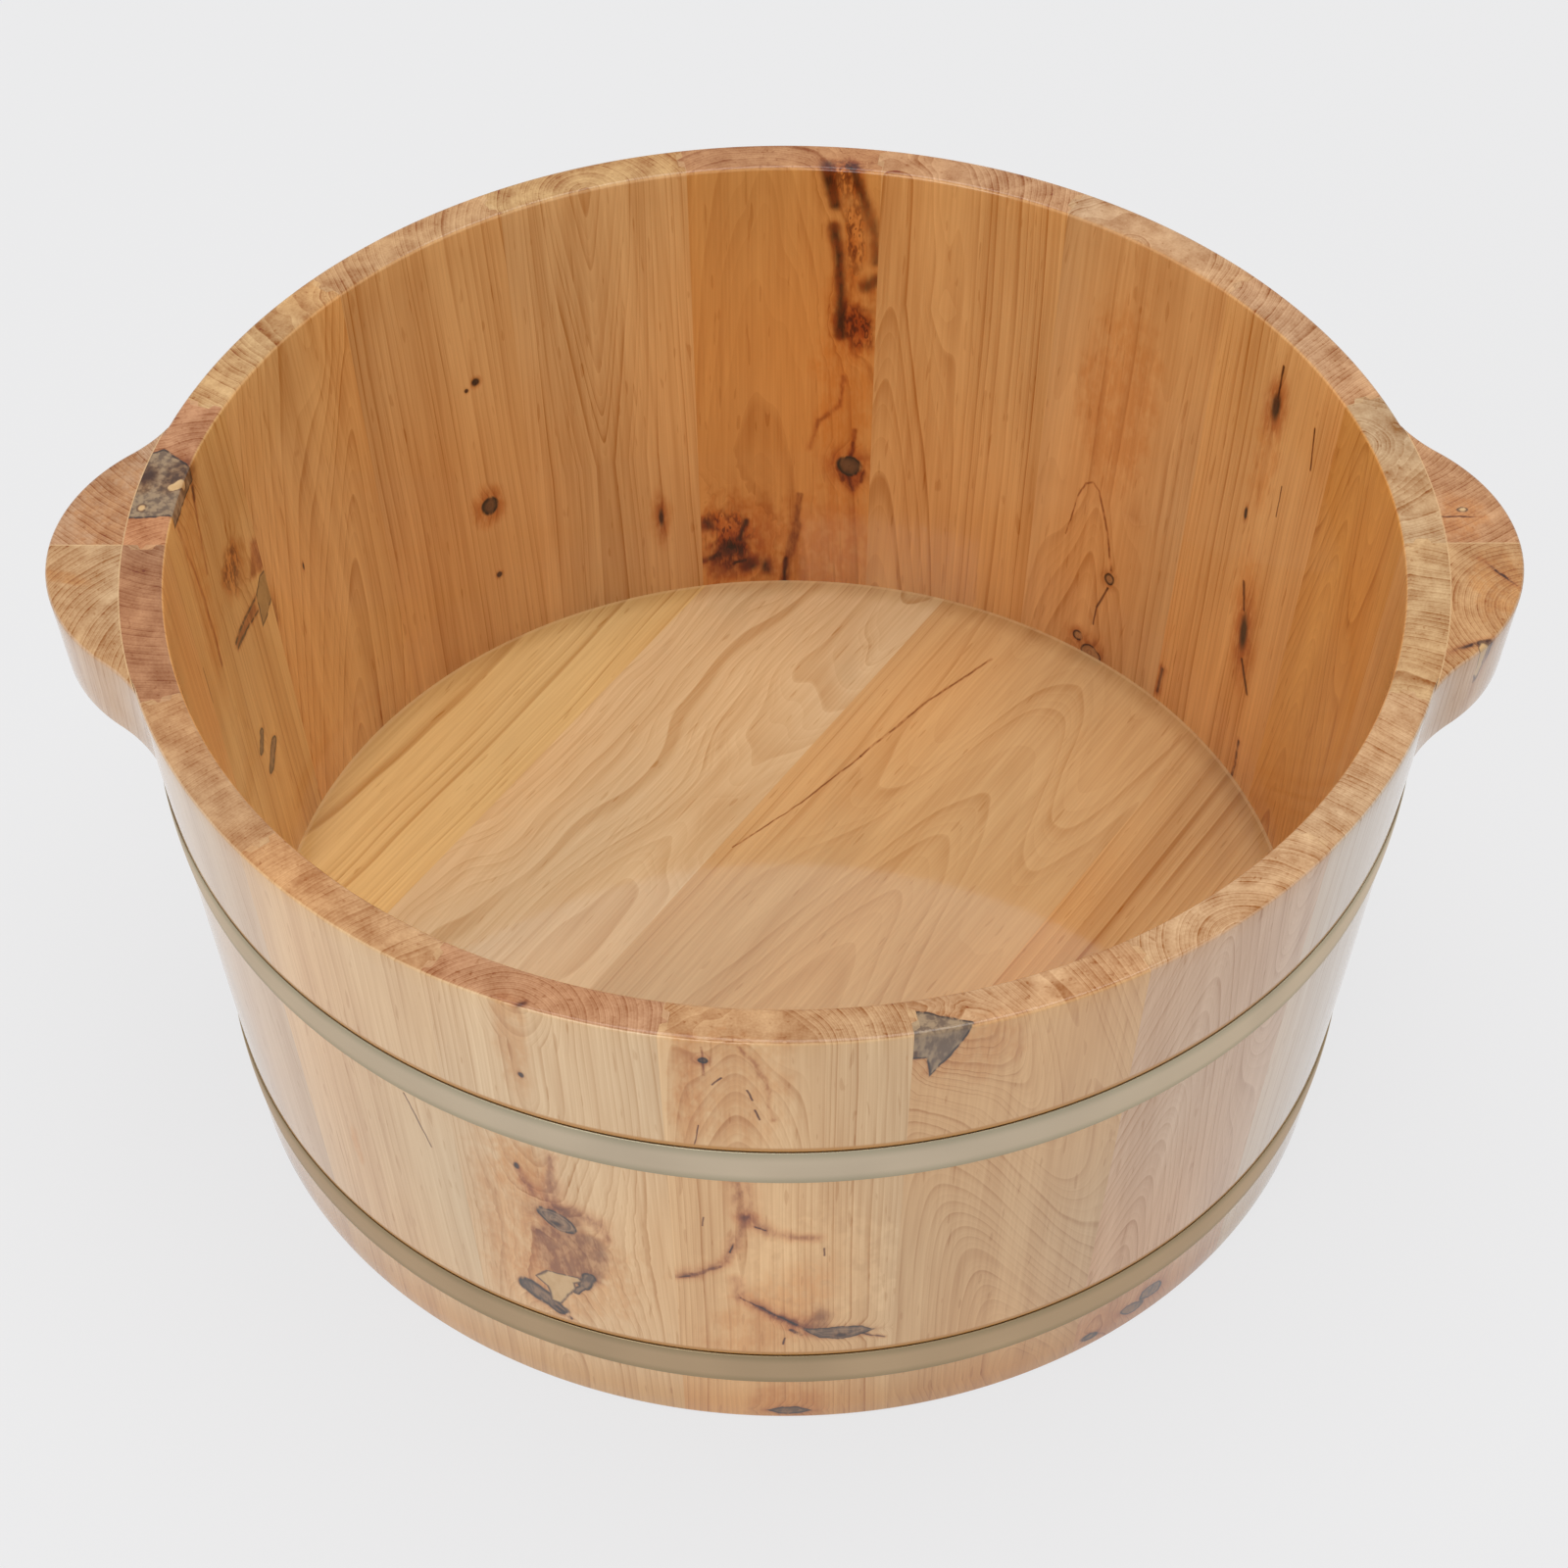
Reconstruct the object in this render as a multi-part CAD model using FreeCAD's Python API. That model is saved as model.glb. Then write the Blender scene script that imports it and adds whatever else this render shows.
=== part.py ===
"""Foot bath tub of eighteen wooden staves, a floor of edge-glued boards, two flat hoops and two glued-on ears.

Millimetres and degrees. The origin is the centre of the base, Z points up, X runs through the ears, and the
front of the tub faces -Y. Angles are counted counter-clockwise from +X, seen from above.
"""
import FreeCAD, Part
import math
import os
from FreeCAD import Vector

# Tub as a whole
tub_height = 200.0
rim_radius = 200.0        # outside of the wall at the top
base_radius = 177.5       # outside of the wall at the bottom
wall = 13.0               # stave thickness, measured level
rim_bevel = 1.2           # eased inner and outer edge of the rim, measured level
foot_bevel = 1.5          # eased outer edge of the foot

# Staves
stave_count = 18
front_angle = -90.0       # the first stave is centred here, the others follow counter-clockwise
tongue_height = 2.0       # how far it stands out of the seam
tongue_root = 5.6         # width where it leaves the seam
tongue_tip = 3.6
tongue_depth = 7.2        # from the outside of the wall to the middle of the tongue
tongue_play = 0.1         # room round the tongue in its groove

# Floor
floor_top = 30.5
floor_thickness = 14.0
floor_edge = 8.0          # thickness of the edge that sits in the staves' groove
floor_groove_depth = 4.5
floor_play = 0.15         # room between the floor's edge and the bottom of the groove
floor_bevel_gap = 0.3     # between the start of the bevel underneath and the wall
board_angle = 57.0        # direction of the floor's grain
first_board_share = 0.17  # of the floor's width, so that a wider floor has wider boards
second_board_share = 0.22
third_board_share = 0.3175

# Hoops
hoop_width = 15.0
hoop_thickness = 1.4
hoop_seat = 0.9           # depth of the groove that a hoop lies in
hoop_gap = 0.4            # between a hoop's edge and the shoulder of its groove
upper_hoop_middle = 139.8
lower_hoop_middle = 29.7

# Ears
ear_height = 30.0
ear_reach = 23.0          # how far the nose stands out from the rim
ear_nose_radius = 62.0
ear_hollow_radius = 49.0
ear_root_bite = 0.8       # how far the hollow flank runs into the wall, so that the tip has some thickness
ear_turn = 1.2            # both ears sit a little towards the front of the seam behind them
ear_bevel = 1.5           # eased edges above and below

taper = (rim_radius - base_radius) / tub_height
stave_angle = 360.0 / stave_count


def outer_radius(z):
    """Outside of the wall at height z."""
    return base_radius + taper * z


def inner_radius(z):
    """Inside of the wall at height z."""
    return outer_radius(z) - wall


def polar(radius, angle, z=0.0):
    """Point at a radius and an angle in degrees."""
    turn = math.radians(angle)
    return Vector(radius * math.cos(turn), radius * math.sin(turn), z)


def section_point(radius, z):
    """Point of a section that is drawn in the XZ plane and turned about Z."""
    return Vector(radius, 0, z)


def flat_face(points):
    """Face inside a closed outline of straight lines."""
    return Part.Face(Part.makePolygon(points + points[:1]))


def turned(face, start=0.0, sweep=360.0):
    """Solid made by turning a section about the tub's axis."""
    placed = face.copy()
    placed.rotate(Vector(0, 0, 0), Vector(0, 0, 1), start)
    return placed.revolve(Vector(0, 0, 0), Vector(0, 0, 1), sweep)


def hoop_groove(middle):
    """Corners of the groove for a hoop, from its lower to its upper shoulder."""
    low = middle - hoop_width / 2 - hoop_gap
    high = middle + hoop_width / 2 + hoop_gap
    return [
        section_point(outer_radius(low), low),
        section_point(outer_radius(low) - hoop_seat, low),
        section_point(outer_radius(high) - hoop_seat, high),
        section_point(outer_radius(high), high),
    ]


def floor_groove():
    """Corners of the groove that holds the floor's edge, from its upper to its lower side."""
    low = floor_top - floor_edge
    bottom_of_groove = inner_radius(floor_top) + floor_groove_depth
    return [
        section_point(inner_radius(floor_top), floor_top),
        section_point(bottom_of_groove, floor_top),
        section_point(bottom_of_groove, low),
        section_point(inner_radius(low), low),
    ]


def wall_section():
    """Section of the wall with its three grooves. The outer corner of the rim is left sharp."""
    corners = [
        section_point(outer_radius(0) - foot_bevel, 0),
        section_point(outer_radius(foot_bevel), foot_bevel),
    ]
    corners += hoop_groove(lower_hoop_middle)
    corners += hoop_groove(upper_hoop_middle)
    corners += [
        section_point(outer_radius(tub_height), tub_height),
        section_point(inner_radius(tub_height) + rim_bevel, tub_height),
        section_point(inner_radius(tub_height - rim_bevel), tub_height - rim_bevel),
    ]
    corners += floor_groove()
    corners.append(section_point(inner_radius(0), 0))
    return flat_face(corners)


def rim_corner(ears):
    """What easing the rim's outer edge takes off, all round the tub but not where an ear stands."""
    corner = [
        section_point(outer_radius(tub_height - rim_bevel), tub_height - rim_bevel),
        section_point(outer_radius(tub_height), tub_height),
        section_point(outer_radius(tub_height) - rim_bevel, tub_height),
    ]
    ring = turned(flat_face(corner))
    for ear in ears:
        ring = ring.cut(ear)
    return ring


def one_side_of_seam(angle, play=0.0):
    """All space clockwise of a seam, with the tongue that stands out of it along the slope of the wall."""
    below = -tub_height
    height = 3 * tub_height
    reach = 2 * rim_radius
    middle = outer_radius(below) - tongue_depth
    root = tongue_root / 2 + play
    tip = tongue_tip / 2 + play
    across = [
        Vector(middle - root, -tongue_height, below),
        Vector(middle + root, -tongue_height, below),
        Vector(middle + root, 0, below),
        Vector(middle + tip, tongue_height + play, below),
        Vector(middle - tip, tongue_height + play, below),
        Vector(middle - root, 0, below),
    ]
    tongue = flat_face(across).extrude(Vector(taper, 0, 1) * height)
    side = Part.makeBox(reach, reach, height, Vector(0, -reach, below)).fuse(tongue)
    side.rotate(Vector(0, 0, 0), Vector(0, 0, 1), angle)
    return side


def plain_stave():
    """A stave that ends at the seam in the XZ plane: tongue on that side, groove on the other."""
    spare = stave_angle / 4
    body = turned(wall_section(), -stave_angle - spare, stave_angle + 2 * spare)
    body = body.common(one_side_of_seam(0))
    return body.cut(one_side_of_seam(-stave_angle, tongue_play))


def stave(number, blank, corner):
    """One stave in its place, with the eased edge of the rim."""
    end = front_angle + stave_angle * (number + 0.5)
    body = blank.copy()
    body.rotate(Vector(0, 0, 0), Vector(0, 0, 1), end)
    return body.cut(corner)


def floor_radius():
    """Radius of the floor, to the edge that sits in the groove."""
    return inner_radius(floor_top) + floor_groove_depth - floor_play


def floor_disc():
    """The whole floor before it is parted: a turned disc with a bevel under its edge."""
    edge_radius = floor_radius()
    ledge = floor_top - floor_edge
    underside = floor_top - floor_thickness
    bevel_start = inner_radius(ledge) - floor_bevel_gap
    bevel_end = bevel_start - (floor_thickness - floor_edge)
    corners = [
        section_point(0, underside),
        section_point(bevel_end, underside),
        section_point(bevel_start, ledge),
        section_point(edge_radius, ledge),
        section_point(edge_radius, floor_top),
        section_point(0, floor_top),
    ]
    return turned(flat_face(corners))


def floor_boards():
    """The boards of the floor, parted along straight seams that run with the grain."""
    disc = floor_disc()
    reach = 2 * rim_radius
    seam = -floor_radius()
    edges = [-reach]
    for share in (first_board_share, second_board_share, third_board_share):
        seam += share * 2 * floor_radius()
        edges.append(seam)
    edges.append(reach)
    boards = []
    for low, high in zip(edges, edges[1:]):
        slab = Part.makeBox(high - low, 2 * reach, tub_height, Vector(low, -reach, 0))
        slab.rotate(Vector(0, 0, 0), Vector(0, 0, 1), board_angle - 90)
        boards.append(disc.common(slab))
    return boards


def hoop(middle):
    """Flat band that lies in its groove and slopes like the wall."""
    low = middle - hoop_width / 2
    high = middle + hoop_width / 2
    proud = hoop_thickness - hoop_seat
    corners = [
        section_point(outer_radius(low) - hoop_seat, low),
        section_point(outer_radius(low) + proud, low),
        section_point(outer_radius(high) + proud, high),
        section_point(outer_radius(high) - hoop_seat, high),
    ]
    return turned(flat_face(corners))


def round_edges(solid, level):
    """The round edges of a solid at one height."""
    found = []
    for edge in solid.Edges:
        is_arc = isinstance(edge.Curve, Part.Circle)
        if is_arc and abs(edge.CenterOfMass.z - level) < 0.001:
            found.append(edge)
    return found


def ear_blank(side):
    """An ear before its back is fitted to the wall: a round nose between two hollow flanks.

    Nose and flanks are cones that narrow towards the ground as the wall does, so the ear leans in with it.
    The middles of the nose and of a flank are as far apart as their two radii, which joins them smoothly.
    """
    floor_level = tub_height - ear_height
    narrower = taper * ear_height
    nose = rim_radius + ear_reach - ear_nose_radius
    hollow = rim_radius - ear_root_bite + ear_hollow_radius
    between = ear_nose_radius + ear_hollow_radius
    spread = math.degrees(math.acos((nose**2 + hollow**2 - between**2) / (2 * nose * hollow)))
    nose_middle = Vector(nose, 0, floor_level)
    flank_middles = [polar(hollow, -spread, floor_level), polar(hollow, spread, floor_level)]
    tub_middle = Vector(0, 0, floor_level)
    up = Vector(0, 0, ear_height)
    far = [nose_middle + (flank - nose_middle) * 3 for flank in flank_middles]
    fan = flat_face([nose_middle, far[0], far[1]]).extrude(up)
    nose_cone = Part.makeCone(ear_nose_radius - narrower, ear_nose_radius, ear_height, nose_middle)
    nose_cone.rotate(nose_middle, Vector(0, 0, 1), 180)
    root = flat_face([tub_middle, flank_middles[0], nose_middle, flank_middles[1]]).extrude(up)
    for flank in flank_middles:
        wide = ear_hollow_radius + narrower
        root = root.cut(Part.makeCone(wide, ear_hollow_radius, ear_height, flank))
    blank = root.fuse(nose_cone.common(fan)).removeSplitter()
    for level in (tub_height, floor_level):
        blank = blank.makeChamfer(ear_bevel, round_edges(blank, level))
    if side < 0:
        blank = blank.mirror(Vector(0, 0, 0), Vector(1, 0, 0))
    blank.rotate(Vector(0, 0, 0), Vector(0, 0, 1), -side * ear_turn)
    return blank


def ear_blocks(blank):
    """The two blocks of an ear, parted in line with the stave seam and hollowed to fit the wall."""
    beyond = tub_height
    cone = Part.makeCone(
        outer_radius(-beyond), outer_radius(2 * beyond), 3 * beyond, Vector(0, 0, -beyond)
    )
    ear = blank.cut(cone)
    reach = 2 * rim_radius
    front_half = Part.makeBox(2 * reach, reach, 2 * tub_height, Vector(-reach, -reach, 0))
    return ear.common(front_half), ear.cut(front_half)


def build():
    """All pieces by name."""
    pieces = {}
    blanks = {"left": ear_blank(-1), "right": ear_blank(1)}
    blank_stave = plain_stave()
    corner = rim_corner(blanks.values())
    for number in range(stave_count):
        pieces[f"stave_{number + 1:02d}"] = stave(number, blank_stave, corner)
    for number, board in enumerate(floor_boards(), 1):
        pieces[f"floor_board_{number}"] = board
    pieces["upper_hoop"] = hoop(upper_hoop_middle)
    pieces["lower_hoop"] = hoop(lower_hoop_middle)
    for name, blank in blanks.items():
        front, back = ear_blocks(blank)
        pieces[f"{name}_ear_front"] = front
        pieces[f"{name}_ear_back"] = back
    return pieces


os.makedirs("parts", exist_ok=True)
for name, piece in build().items():
    piece.exportStep(f"parts/{name}.step")
    print(f"{name}: {len(piece.Solids)} solid, {piece.Volume / 1000:.1f} cubic centimetres")
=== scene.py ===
# %% [markdown]
# # A wooden foot bath bucket
# The tub stands on a pale floor: eighteen upright staves, a floor of glued boards, two flat steel hoops and
# two ears to carry it by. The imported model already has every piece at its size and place. This lesson
# dresses it: finer meshes with eased edges, wood whose growth rings run through the whole piece, lacquer,
# steel and light.

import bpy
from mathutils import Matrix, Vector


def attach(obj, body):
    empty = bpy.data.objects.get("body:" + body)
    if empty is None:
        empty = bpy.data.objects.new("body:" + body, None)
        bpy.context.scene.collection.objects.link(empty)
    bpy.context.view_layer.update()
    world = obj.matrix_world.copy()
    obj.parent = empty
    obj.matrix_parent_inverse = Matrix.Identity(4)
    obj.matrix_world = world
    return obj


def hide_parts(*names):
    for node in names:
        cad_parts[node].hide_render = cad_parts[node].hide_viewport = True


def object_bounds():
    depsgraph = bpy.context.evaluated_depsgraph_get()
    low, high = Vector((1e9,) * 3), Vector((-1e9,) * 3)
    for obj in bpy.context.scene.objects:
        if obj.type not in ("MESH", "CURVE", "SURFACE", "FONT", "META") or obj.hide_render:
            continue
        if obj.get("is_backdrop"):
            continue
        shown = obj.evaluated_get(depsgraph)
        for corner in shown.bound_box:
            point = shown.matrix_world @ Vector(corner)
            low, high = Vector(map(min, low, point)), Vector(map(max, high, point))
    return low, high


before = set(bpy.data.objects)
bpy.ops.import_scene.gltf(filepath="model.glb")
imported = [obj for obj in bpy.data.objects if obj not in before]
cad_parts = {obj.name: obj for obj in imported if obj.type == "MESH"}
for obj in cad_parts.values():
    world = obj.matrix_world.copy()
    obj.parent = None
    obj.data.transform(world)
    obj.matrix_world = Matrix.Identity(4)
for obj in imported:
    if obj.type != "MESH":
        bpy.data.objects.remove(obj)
frame_low, frame_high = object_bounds()
print("pieces in the frame:", len(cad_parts))

# %% Tools used below
import math

import bmesh
import bpy
import numpy as np
from mathutils import Matrix, Vector

MM = 0.001
print("the object's box in millimetres:", [round(v / MM, 1) for v in frame_high - frame_low])

# %% [markdown]
# ## Camera
# The photograph looks down into the tub along +Y from about 45 degrees, through a long lens. A camera's
# place can be found by trying, but circles give it exactly: the rim, the floor and the hoops are circles of
# known size, so their ellipses in the picture fix the distance, the height and the lens.

# %% Camera
picture_size = 1600                # pixels, square
focal_length_pixels = 4252.6
sensor_width = 36.0
camera_distance = 1333.2 * MM
camera_elevation = math.radians(45.423)
camera_roll = math.radians(-0.089)
camera_target = Vector((-0.31, 0.0, 96.67)) * MM

toward_camera = Vector((0, -math.cos(camera_elevation), math.sin(camera_elevation)))
level_right = Vector((1, 0, 0))
level_up = toward_camera.cross(level_right)
picture_right = math.cos(camera_roll) * level_right + math.sin(camera_roll) * level_up
picture_up = toward_camera.cross(picture_right)

camera_data = bpy.data.cameras.new("camera")
camera_data.sensor_width = sensor_width
camera_data.lens = focal_length_pixels / picture_size * sensor_width
camera = bpy.data.objects.new("camera", camera_data)
camera.matrix_world = Matrix.Translation(camera_target + toward_camera * camera_distance) @ Matrix(
    (picture_right, picture_up, toward_camera)
).transposed().to_4x4()
bpy.context.scene.collection.objects.link(camera)
bpy.context.scene.camera = camera
bpy.context.scene.view_settings.view_transform = "Standard"
print("lens in millimetres:", round(camera_data.lens, 2))

# %% [markdown]
# ## Shader sums as Python
# A material is a net of nodes. Written node by node it is hard to read, so one small class wraps the output
# of a node. Python's operators on it add the Math or Vector Math node that does the sum, and one method
# adds any other node: first its settings, then what flows into its sockets.

# %% One class for shader sums
class Wire:
    """One output of a shader node, which Python's operators can do sums with."""

    def __init__(self, tree, socket=None):
        self.tree = tree
        self.socket = socket

    def node(self, kind, settings=None, inputs=None, output=0):
        """Adds a node to this wire's net, sets it up, feeds it, and gives one of its outputs."""
        made = self.tree.nodes.new(kind)
        for name, value in (settings or {}).items():
            setattr(made, name, value)
        for name, value in (inputs or {}).items():
            if isinstance(value, Wire):
                self.tree.links.new(value.socket, made.inputs[name])
            else:
                made.inputs[name].default_value = value
        return Wire(self.tree, made.outputs[output]) if made.outputs else None

    def sum(self, operation, first, second):
        """A Math node, or a Vector Math node where a side has three parts."""
        def has_parts(side):
            if isinstance(side, Wire):
                return side.socket.type in ("VECTOR", "RGBA")
            return isinstance(side, tuple)
        if not has_parts(first) and not has_parts(second):
            return self.node("ShaderNodeMath", {"operation": operation}, {0: first, 1: second})
        first, second = [s if isinstance(s, (Wire, tuple)) else (s, s, s) for s in (first, second)]
        return self.node("ShaderNodeVectorMath", {"operation": operation}, {0: first, 1: second})

    def __add__(self, other): return self.sum("ADD", self, other)
    def __radd__(self, other): return self.sum("ADD", other, self)
    def __sub__(self, other): return self.sum("SUBTRACT", self, other)
    def __rsub__(self, other): return self.sum("SUBTRACT", other, self)
    def __mul__(self, other): return self.sum("MULTIPLY", self, other)
    def __rmul__(self, other): return self.sum("MULTIPLY", other, self)
    def __truediv__(self, other): return self.sum("DIVIDE", self, other)
    def __pow__(self, other): return self.sum("POWER", self, other)
    def __abs__(self): return self.node("ShaderNodeMath", {"operation": "ABSOLUTE"}, {0: self})

    def greater(self, other): return self.sum("MAXIMUM", self, other)
    def lesser(self, other): return self.sum("MINIMUM", self, other)
    def whole(self): return self.node("ShaderNodeMath", {"operation": "FLOOR"}, {0: self})
    def rest(self): return self.node("ShaderNodeMath", {"operation": "FRACT"}, {0: self})
    def length(self): return self.node("ShaderNodeVectorMath", {"operation": "LENGTH"}, {0: self}, 1)
    def part(self, index): return self.node("ShaderNodeSeparateXYZ", {}, {0: self}, index)

    def rise(self, low, high):
        """0 at low, 1 at high, and a smooth slope between. High may be the smaller of the two."""
        settings = {"interpolation_type": "SMOOTHSTEP"}
        return self.node("ShaderNodeMapRange", settings, {"Value": self, "From Min": low, "From Max": high})

    def blend(self, first, second):
        """A colour that goes from the first to the second as this number goes from 0 to 1."""
        return self.node("ShaderNodeMix", {"data_type": "RGBA"}, {0: self, 6: first, 7: second}, 2)

    def noise(self, per_mm, detail=2.0, roughness=0.5, output=0):
        """Soft noise round 0.5 over a place in millimetres, with so many blots to a millimetre each way."""
        inputs = {"Vector": self * per_mm, "Scale": 1.0, "Detail": detail, "Roughness": roughness}
        return self.node("ShaderNodeTexNoise", {}, inputs, output)

    def line_noise(self, per_step):
        """Noise along one number, such as from ring to ring."""
        inputs = {"W": self * per_step, "Scale": 1.0, "Detail": 1.0}
        return self.node("ShaderNodeTexNoise", {"noise_dimensions": "1D"}, inputs)

    def egg(self, middle, half, turn):
        """How far a place is from the middle of an egg: 0 there and 1 on its skin."""
        inputs = {"Vector": self, "Location": middle, "Rotation": turn, "Scale": half}
        return self.node("ShaderNodeMapping", {"vector_type": "TEXTURE"}, inputs).length()

    def rod(self, start, half, turn, length):
        """How far a place is from a line, in half widths. It goes up from its start and is then turned."""
        inputs = {"Vector": self, "Location": start, "Rotation": turn, "Scale": half}
        local = self.node("ShaderNodeMapping", {"vector_type": "TEXTURE"}, inputs)
        return (local - local.lesser((0.0, 0.0, length)).greater((0.0, 0.0, 0.0))).length()

    def plate(self, planes, size):
        """How far a place is past the flat sides of a form: 1 on them, and 1 more for each size beyond."""
        furthest = None
        for direction, limit in planes:
            inputs = {0: self, 1: direction}
            past = self.node("ShaderNodeVectorMath", {"operation": "DOT_PRODUCT"}, inputs, 1) - limit
            furthest = past if furthest is None else furthest.greater(past)
        return furthest / size + 1.0


def colour(red, green, blue):
    """A colour as a screen shows it, from 0 to 255, turned into the linear values that light uses."""
    def linear(value):
        share = value / 255
        return share / 12.92 if share <= 0.04045 else ((share + 0.055) / 1.055) ** 2.4
    return (linear(red), linear(green), linear(blue), 1.0)


def new_material(name):
    """An empty material and the wire that its nodes start from."""
    made = bpy.data.materials.new(name)
    made.use_nodes = True
    made.node_tree.nodes.clear()
    return made, Wire(made.node_tree)


print("pale wood in linear light:", [round(v, 3) for v in colour(222, 184, 140)])

# %% [markdown]
# ## Pieces as solid grids
# A stave, a board or half an ear is a bent brick. A brick could be cut from a cube with modifiers, but its
# eased edges and grooves would then depend on how well the cuts come out. Here each piece is a grid of
# points through its solid, from its lowest to its highest level, and the skin of that grid becomes the
# mesh.

# %% From a grid of points to a closed mesh
same_place = 0.002                 # points closer than this become one
grid_sharp_angle = 40              # a piece keeps a crease where it turns by more, in degrees


def skin(shape):
    """Quads on the six sides of a grid of points that is counted by level, column and row."""
    index = np.arange(shape[0] * shape[1] * shape[2]).reshape(shape)
    quads = []
    for side in range(3):
        for end in (0, -1):
            sheet = np.take(index, end, axis=side)
            corners = (sheet[:-1, :-1], sheet[1:, :-1], sheet[1:, 1:], sheet[:-1, 1:])
            quads.append(np.stack([c.ravel() for c in corners], 1))
    return np.concatenate(quads)


def closed_mesh(name, places, quads, sharp_angle):
    """A smooth mesh from points in millimetres, with sharp edges where it turns by more than an angle."""
    mesh = bpy.data.meshes.new(name)
    mesh.from_pydata((places * MM).tolist(), [], quads.tolist())
    draft = bmesh.new()
    draft.from_mesh(mesh)
    bmesh.ops.remove_doubles(draft, verts=draft.verts, dist=same_place * MM)
    bmesh.ops.recalc_face_normals(draft, faces=draft.faces)
    draft.to_mesh(mesh)
    draft.free()
    mesh.shade_smooth()
    mesh.set_sharp_from_angle(angle=math.radians(sharp_angle))
    return mesh


def grid_mesh(name, points):
    """A closed mesh from a grid of points."""
    used, quads = np.unique(skin(points.shape[:3]), return_inverse=True)
    return closed_mesh(name, points.reshape(-1, 3)[used], quads.reshape(-1, 4), grid_sharp_angle)


def show(name, mesh, material, node):
    """Puts a piece in the scene in place of the frame's node that it stands for."""
    piece = bpy.data.objects.new(name, mesh)
    bpy.context.scene.collection.objects.link(piece)
    mesh.materials.append(material)
    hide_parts(node)
    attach(piece, "root")


print("a grid of 2 x 2 x 2 points has", len(skin((2, 2, 2))), "sides")

# %% [markdown]
# ## The tub's sizes
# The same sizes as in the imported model, in millimetres. The wall leans out by 22.5 mm over its height of
# 200 mm.

# %% Sizes of the wall
tub_height = 200.0
rim_radius = 200.0
base_radius = 177.5
wall = 13.0
rim_round = 1.3
foot_round = 1.5
taper = (rim_radius - base_radius) / tub_height

stave_count = 18
stave_angle = 360 / stave_count
front_angle = -90.0
tongue_height = 2.0
tongue_root = 5.6
tongue_tip = 3.6
tongue_depth = 7.2
tongue_play = 0.05

hoop_width = 15.0
hoop_thickness = 1.4
hoop_seat = 0.9
hoop_gap = 0.4
hoop_middles = {"upper_hoop": 139.8, "lower_hoop": 29.7}

floor_top = 30.5
floor_thickness = 14.0
floor_edge = 8.0
floor_groove_depth = 4.5
floor_play = 0.15
floor_bevel_gap = 0.3


def outer_radius(z):
    """Outside of the wall at height z."""
    return base_radius + taper * z


def inner_radius(z):
    """Inside of the wall at height z."""
    return outer_radius(z) - wall


print("outside radius at the upper hoop:", round(outer_radius(hoop_middles["upper_hoop"]), 1))

# %% [markdown]
# ## Levels of the wall
# A stave has a groove for each hoop, a groove for the floor and eased edges at its rim and foot. Each of
# these only moves its outer or inner face in or out at some height. So a list of levels describes it whole:
# a height, and how much is taken off the outside and the inside there.

# %% Levels of the wall
row_spacing = 8.0
floor_low = floor_top - floor_edge
floor_groove_radius = inner_radius(floor_top) + floor_groove_depth
half_groove = hoop_width / 2 + hoop_gap
hoop_grooves = [(middle - half_groove, middle + half_groove) for middle in hoop_middles.values()]


def quarter_turn(radius, steps=5):
    """A rounded edge, from the side to the top, as (how far it has risen, how much it takes off)."""
    turns = [math.pi / 2 * step / steps for step in range(steps + 1)]
    return [(radius * math.sin(turn), radius * (1 - math.cos(turn))) for turn in turns]


def wall_levels():
    """Levels from foot to rim: height, and what comes off the outside, the inside, and both at the rim."""
    levels = [(foot_round - risen, taken, 0.0, 0.0) for risen, taken in reversed(quarter_turn(foot_round))]
    steps = {foot_round, floor_low, floor_top, tub_height - rim_round}
    steps.update(edge for groove in hoop_grooves for edge in groove)
    steps = sorted(steps)
    for low, high in zip(steps, steps[1:]):
        middle = (low + high) / 2
        outside = hoop_seat if any(a < middle < b for a, b in hoop_grooves) else 0.0
        for z in np.linspace(low, high, math.ceil((high - low) / row_spacing) + 1):
            inside = floor_groove_radius - inner_radius(z) if floor_low < middle < floor_top else 0.0
            levels.append((z, outside, inside, 0.0))
    for risen, taken in quarter_turn(rim_round)[1:]:
        levels.append((tub_height - rim_round + risen, 0.0, 0.0, taken))
    return np.array(levels)


print("levels of the wall:", len(wall_levels()))

# %% [markdown]
# ## Ears
# Seen from above each ear is a nose between two hollow flanks: one arc of 62 mm and two of 49 mm that run
# into each other. It leans in with the wall, and a vertical seam parts it into a front and a back block.
# Rows run from the wall out to that outline, so the hollow back fits the wall by itself.

# %% Plan of an ear
ear_height = 30.0
ear_reach = 23.0
ear_nose_radius = 62.0
ear_hollow_radius = 49.0
ear_root_bite = 0.8
ear_turn = math.radians(1.2)
ear_round = 1.5

nose_middle = rim_radius + ear_reach - ear_nose_radius
flank_reach = rim_radius - ear_root_bite + ear_hollow_radius
nose_to_flank = ear_nose_radius + ear_hollow_radius
flank_side = nose_middle**2 + flank_reach**2 - nose_to_flank**2
flank_turn = math.acos(flank_side / (2 * nose_middle * flank_reach))
flank_middle = flank_reach * np.array([math.cos(flank_turn), math.sin(flank_turn)])
joint_turn = math.asin(flank_middle[1] / nose_to_flank)


def arc(middle, radius, start, end, count):
    """Points on an arc, from one angle to another."""
    turns = np.linspace(start, end, count)
    return middle + radius * np.stack([np.cos(turns), np.sin(turns)], 1)


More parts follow.
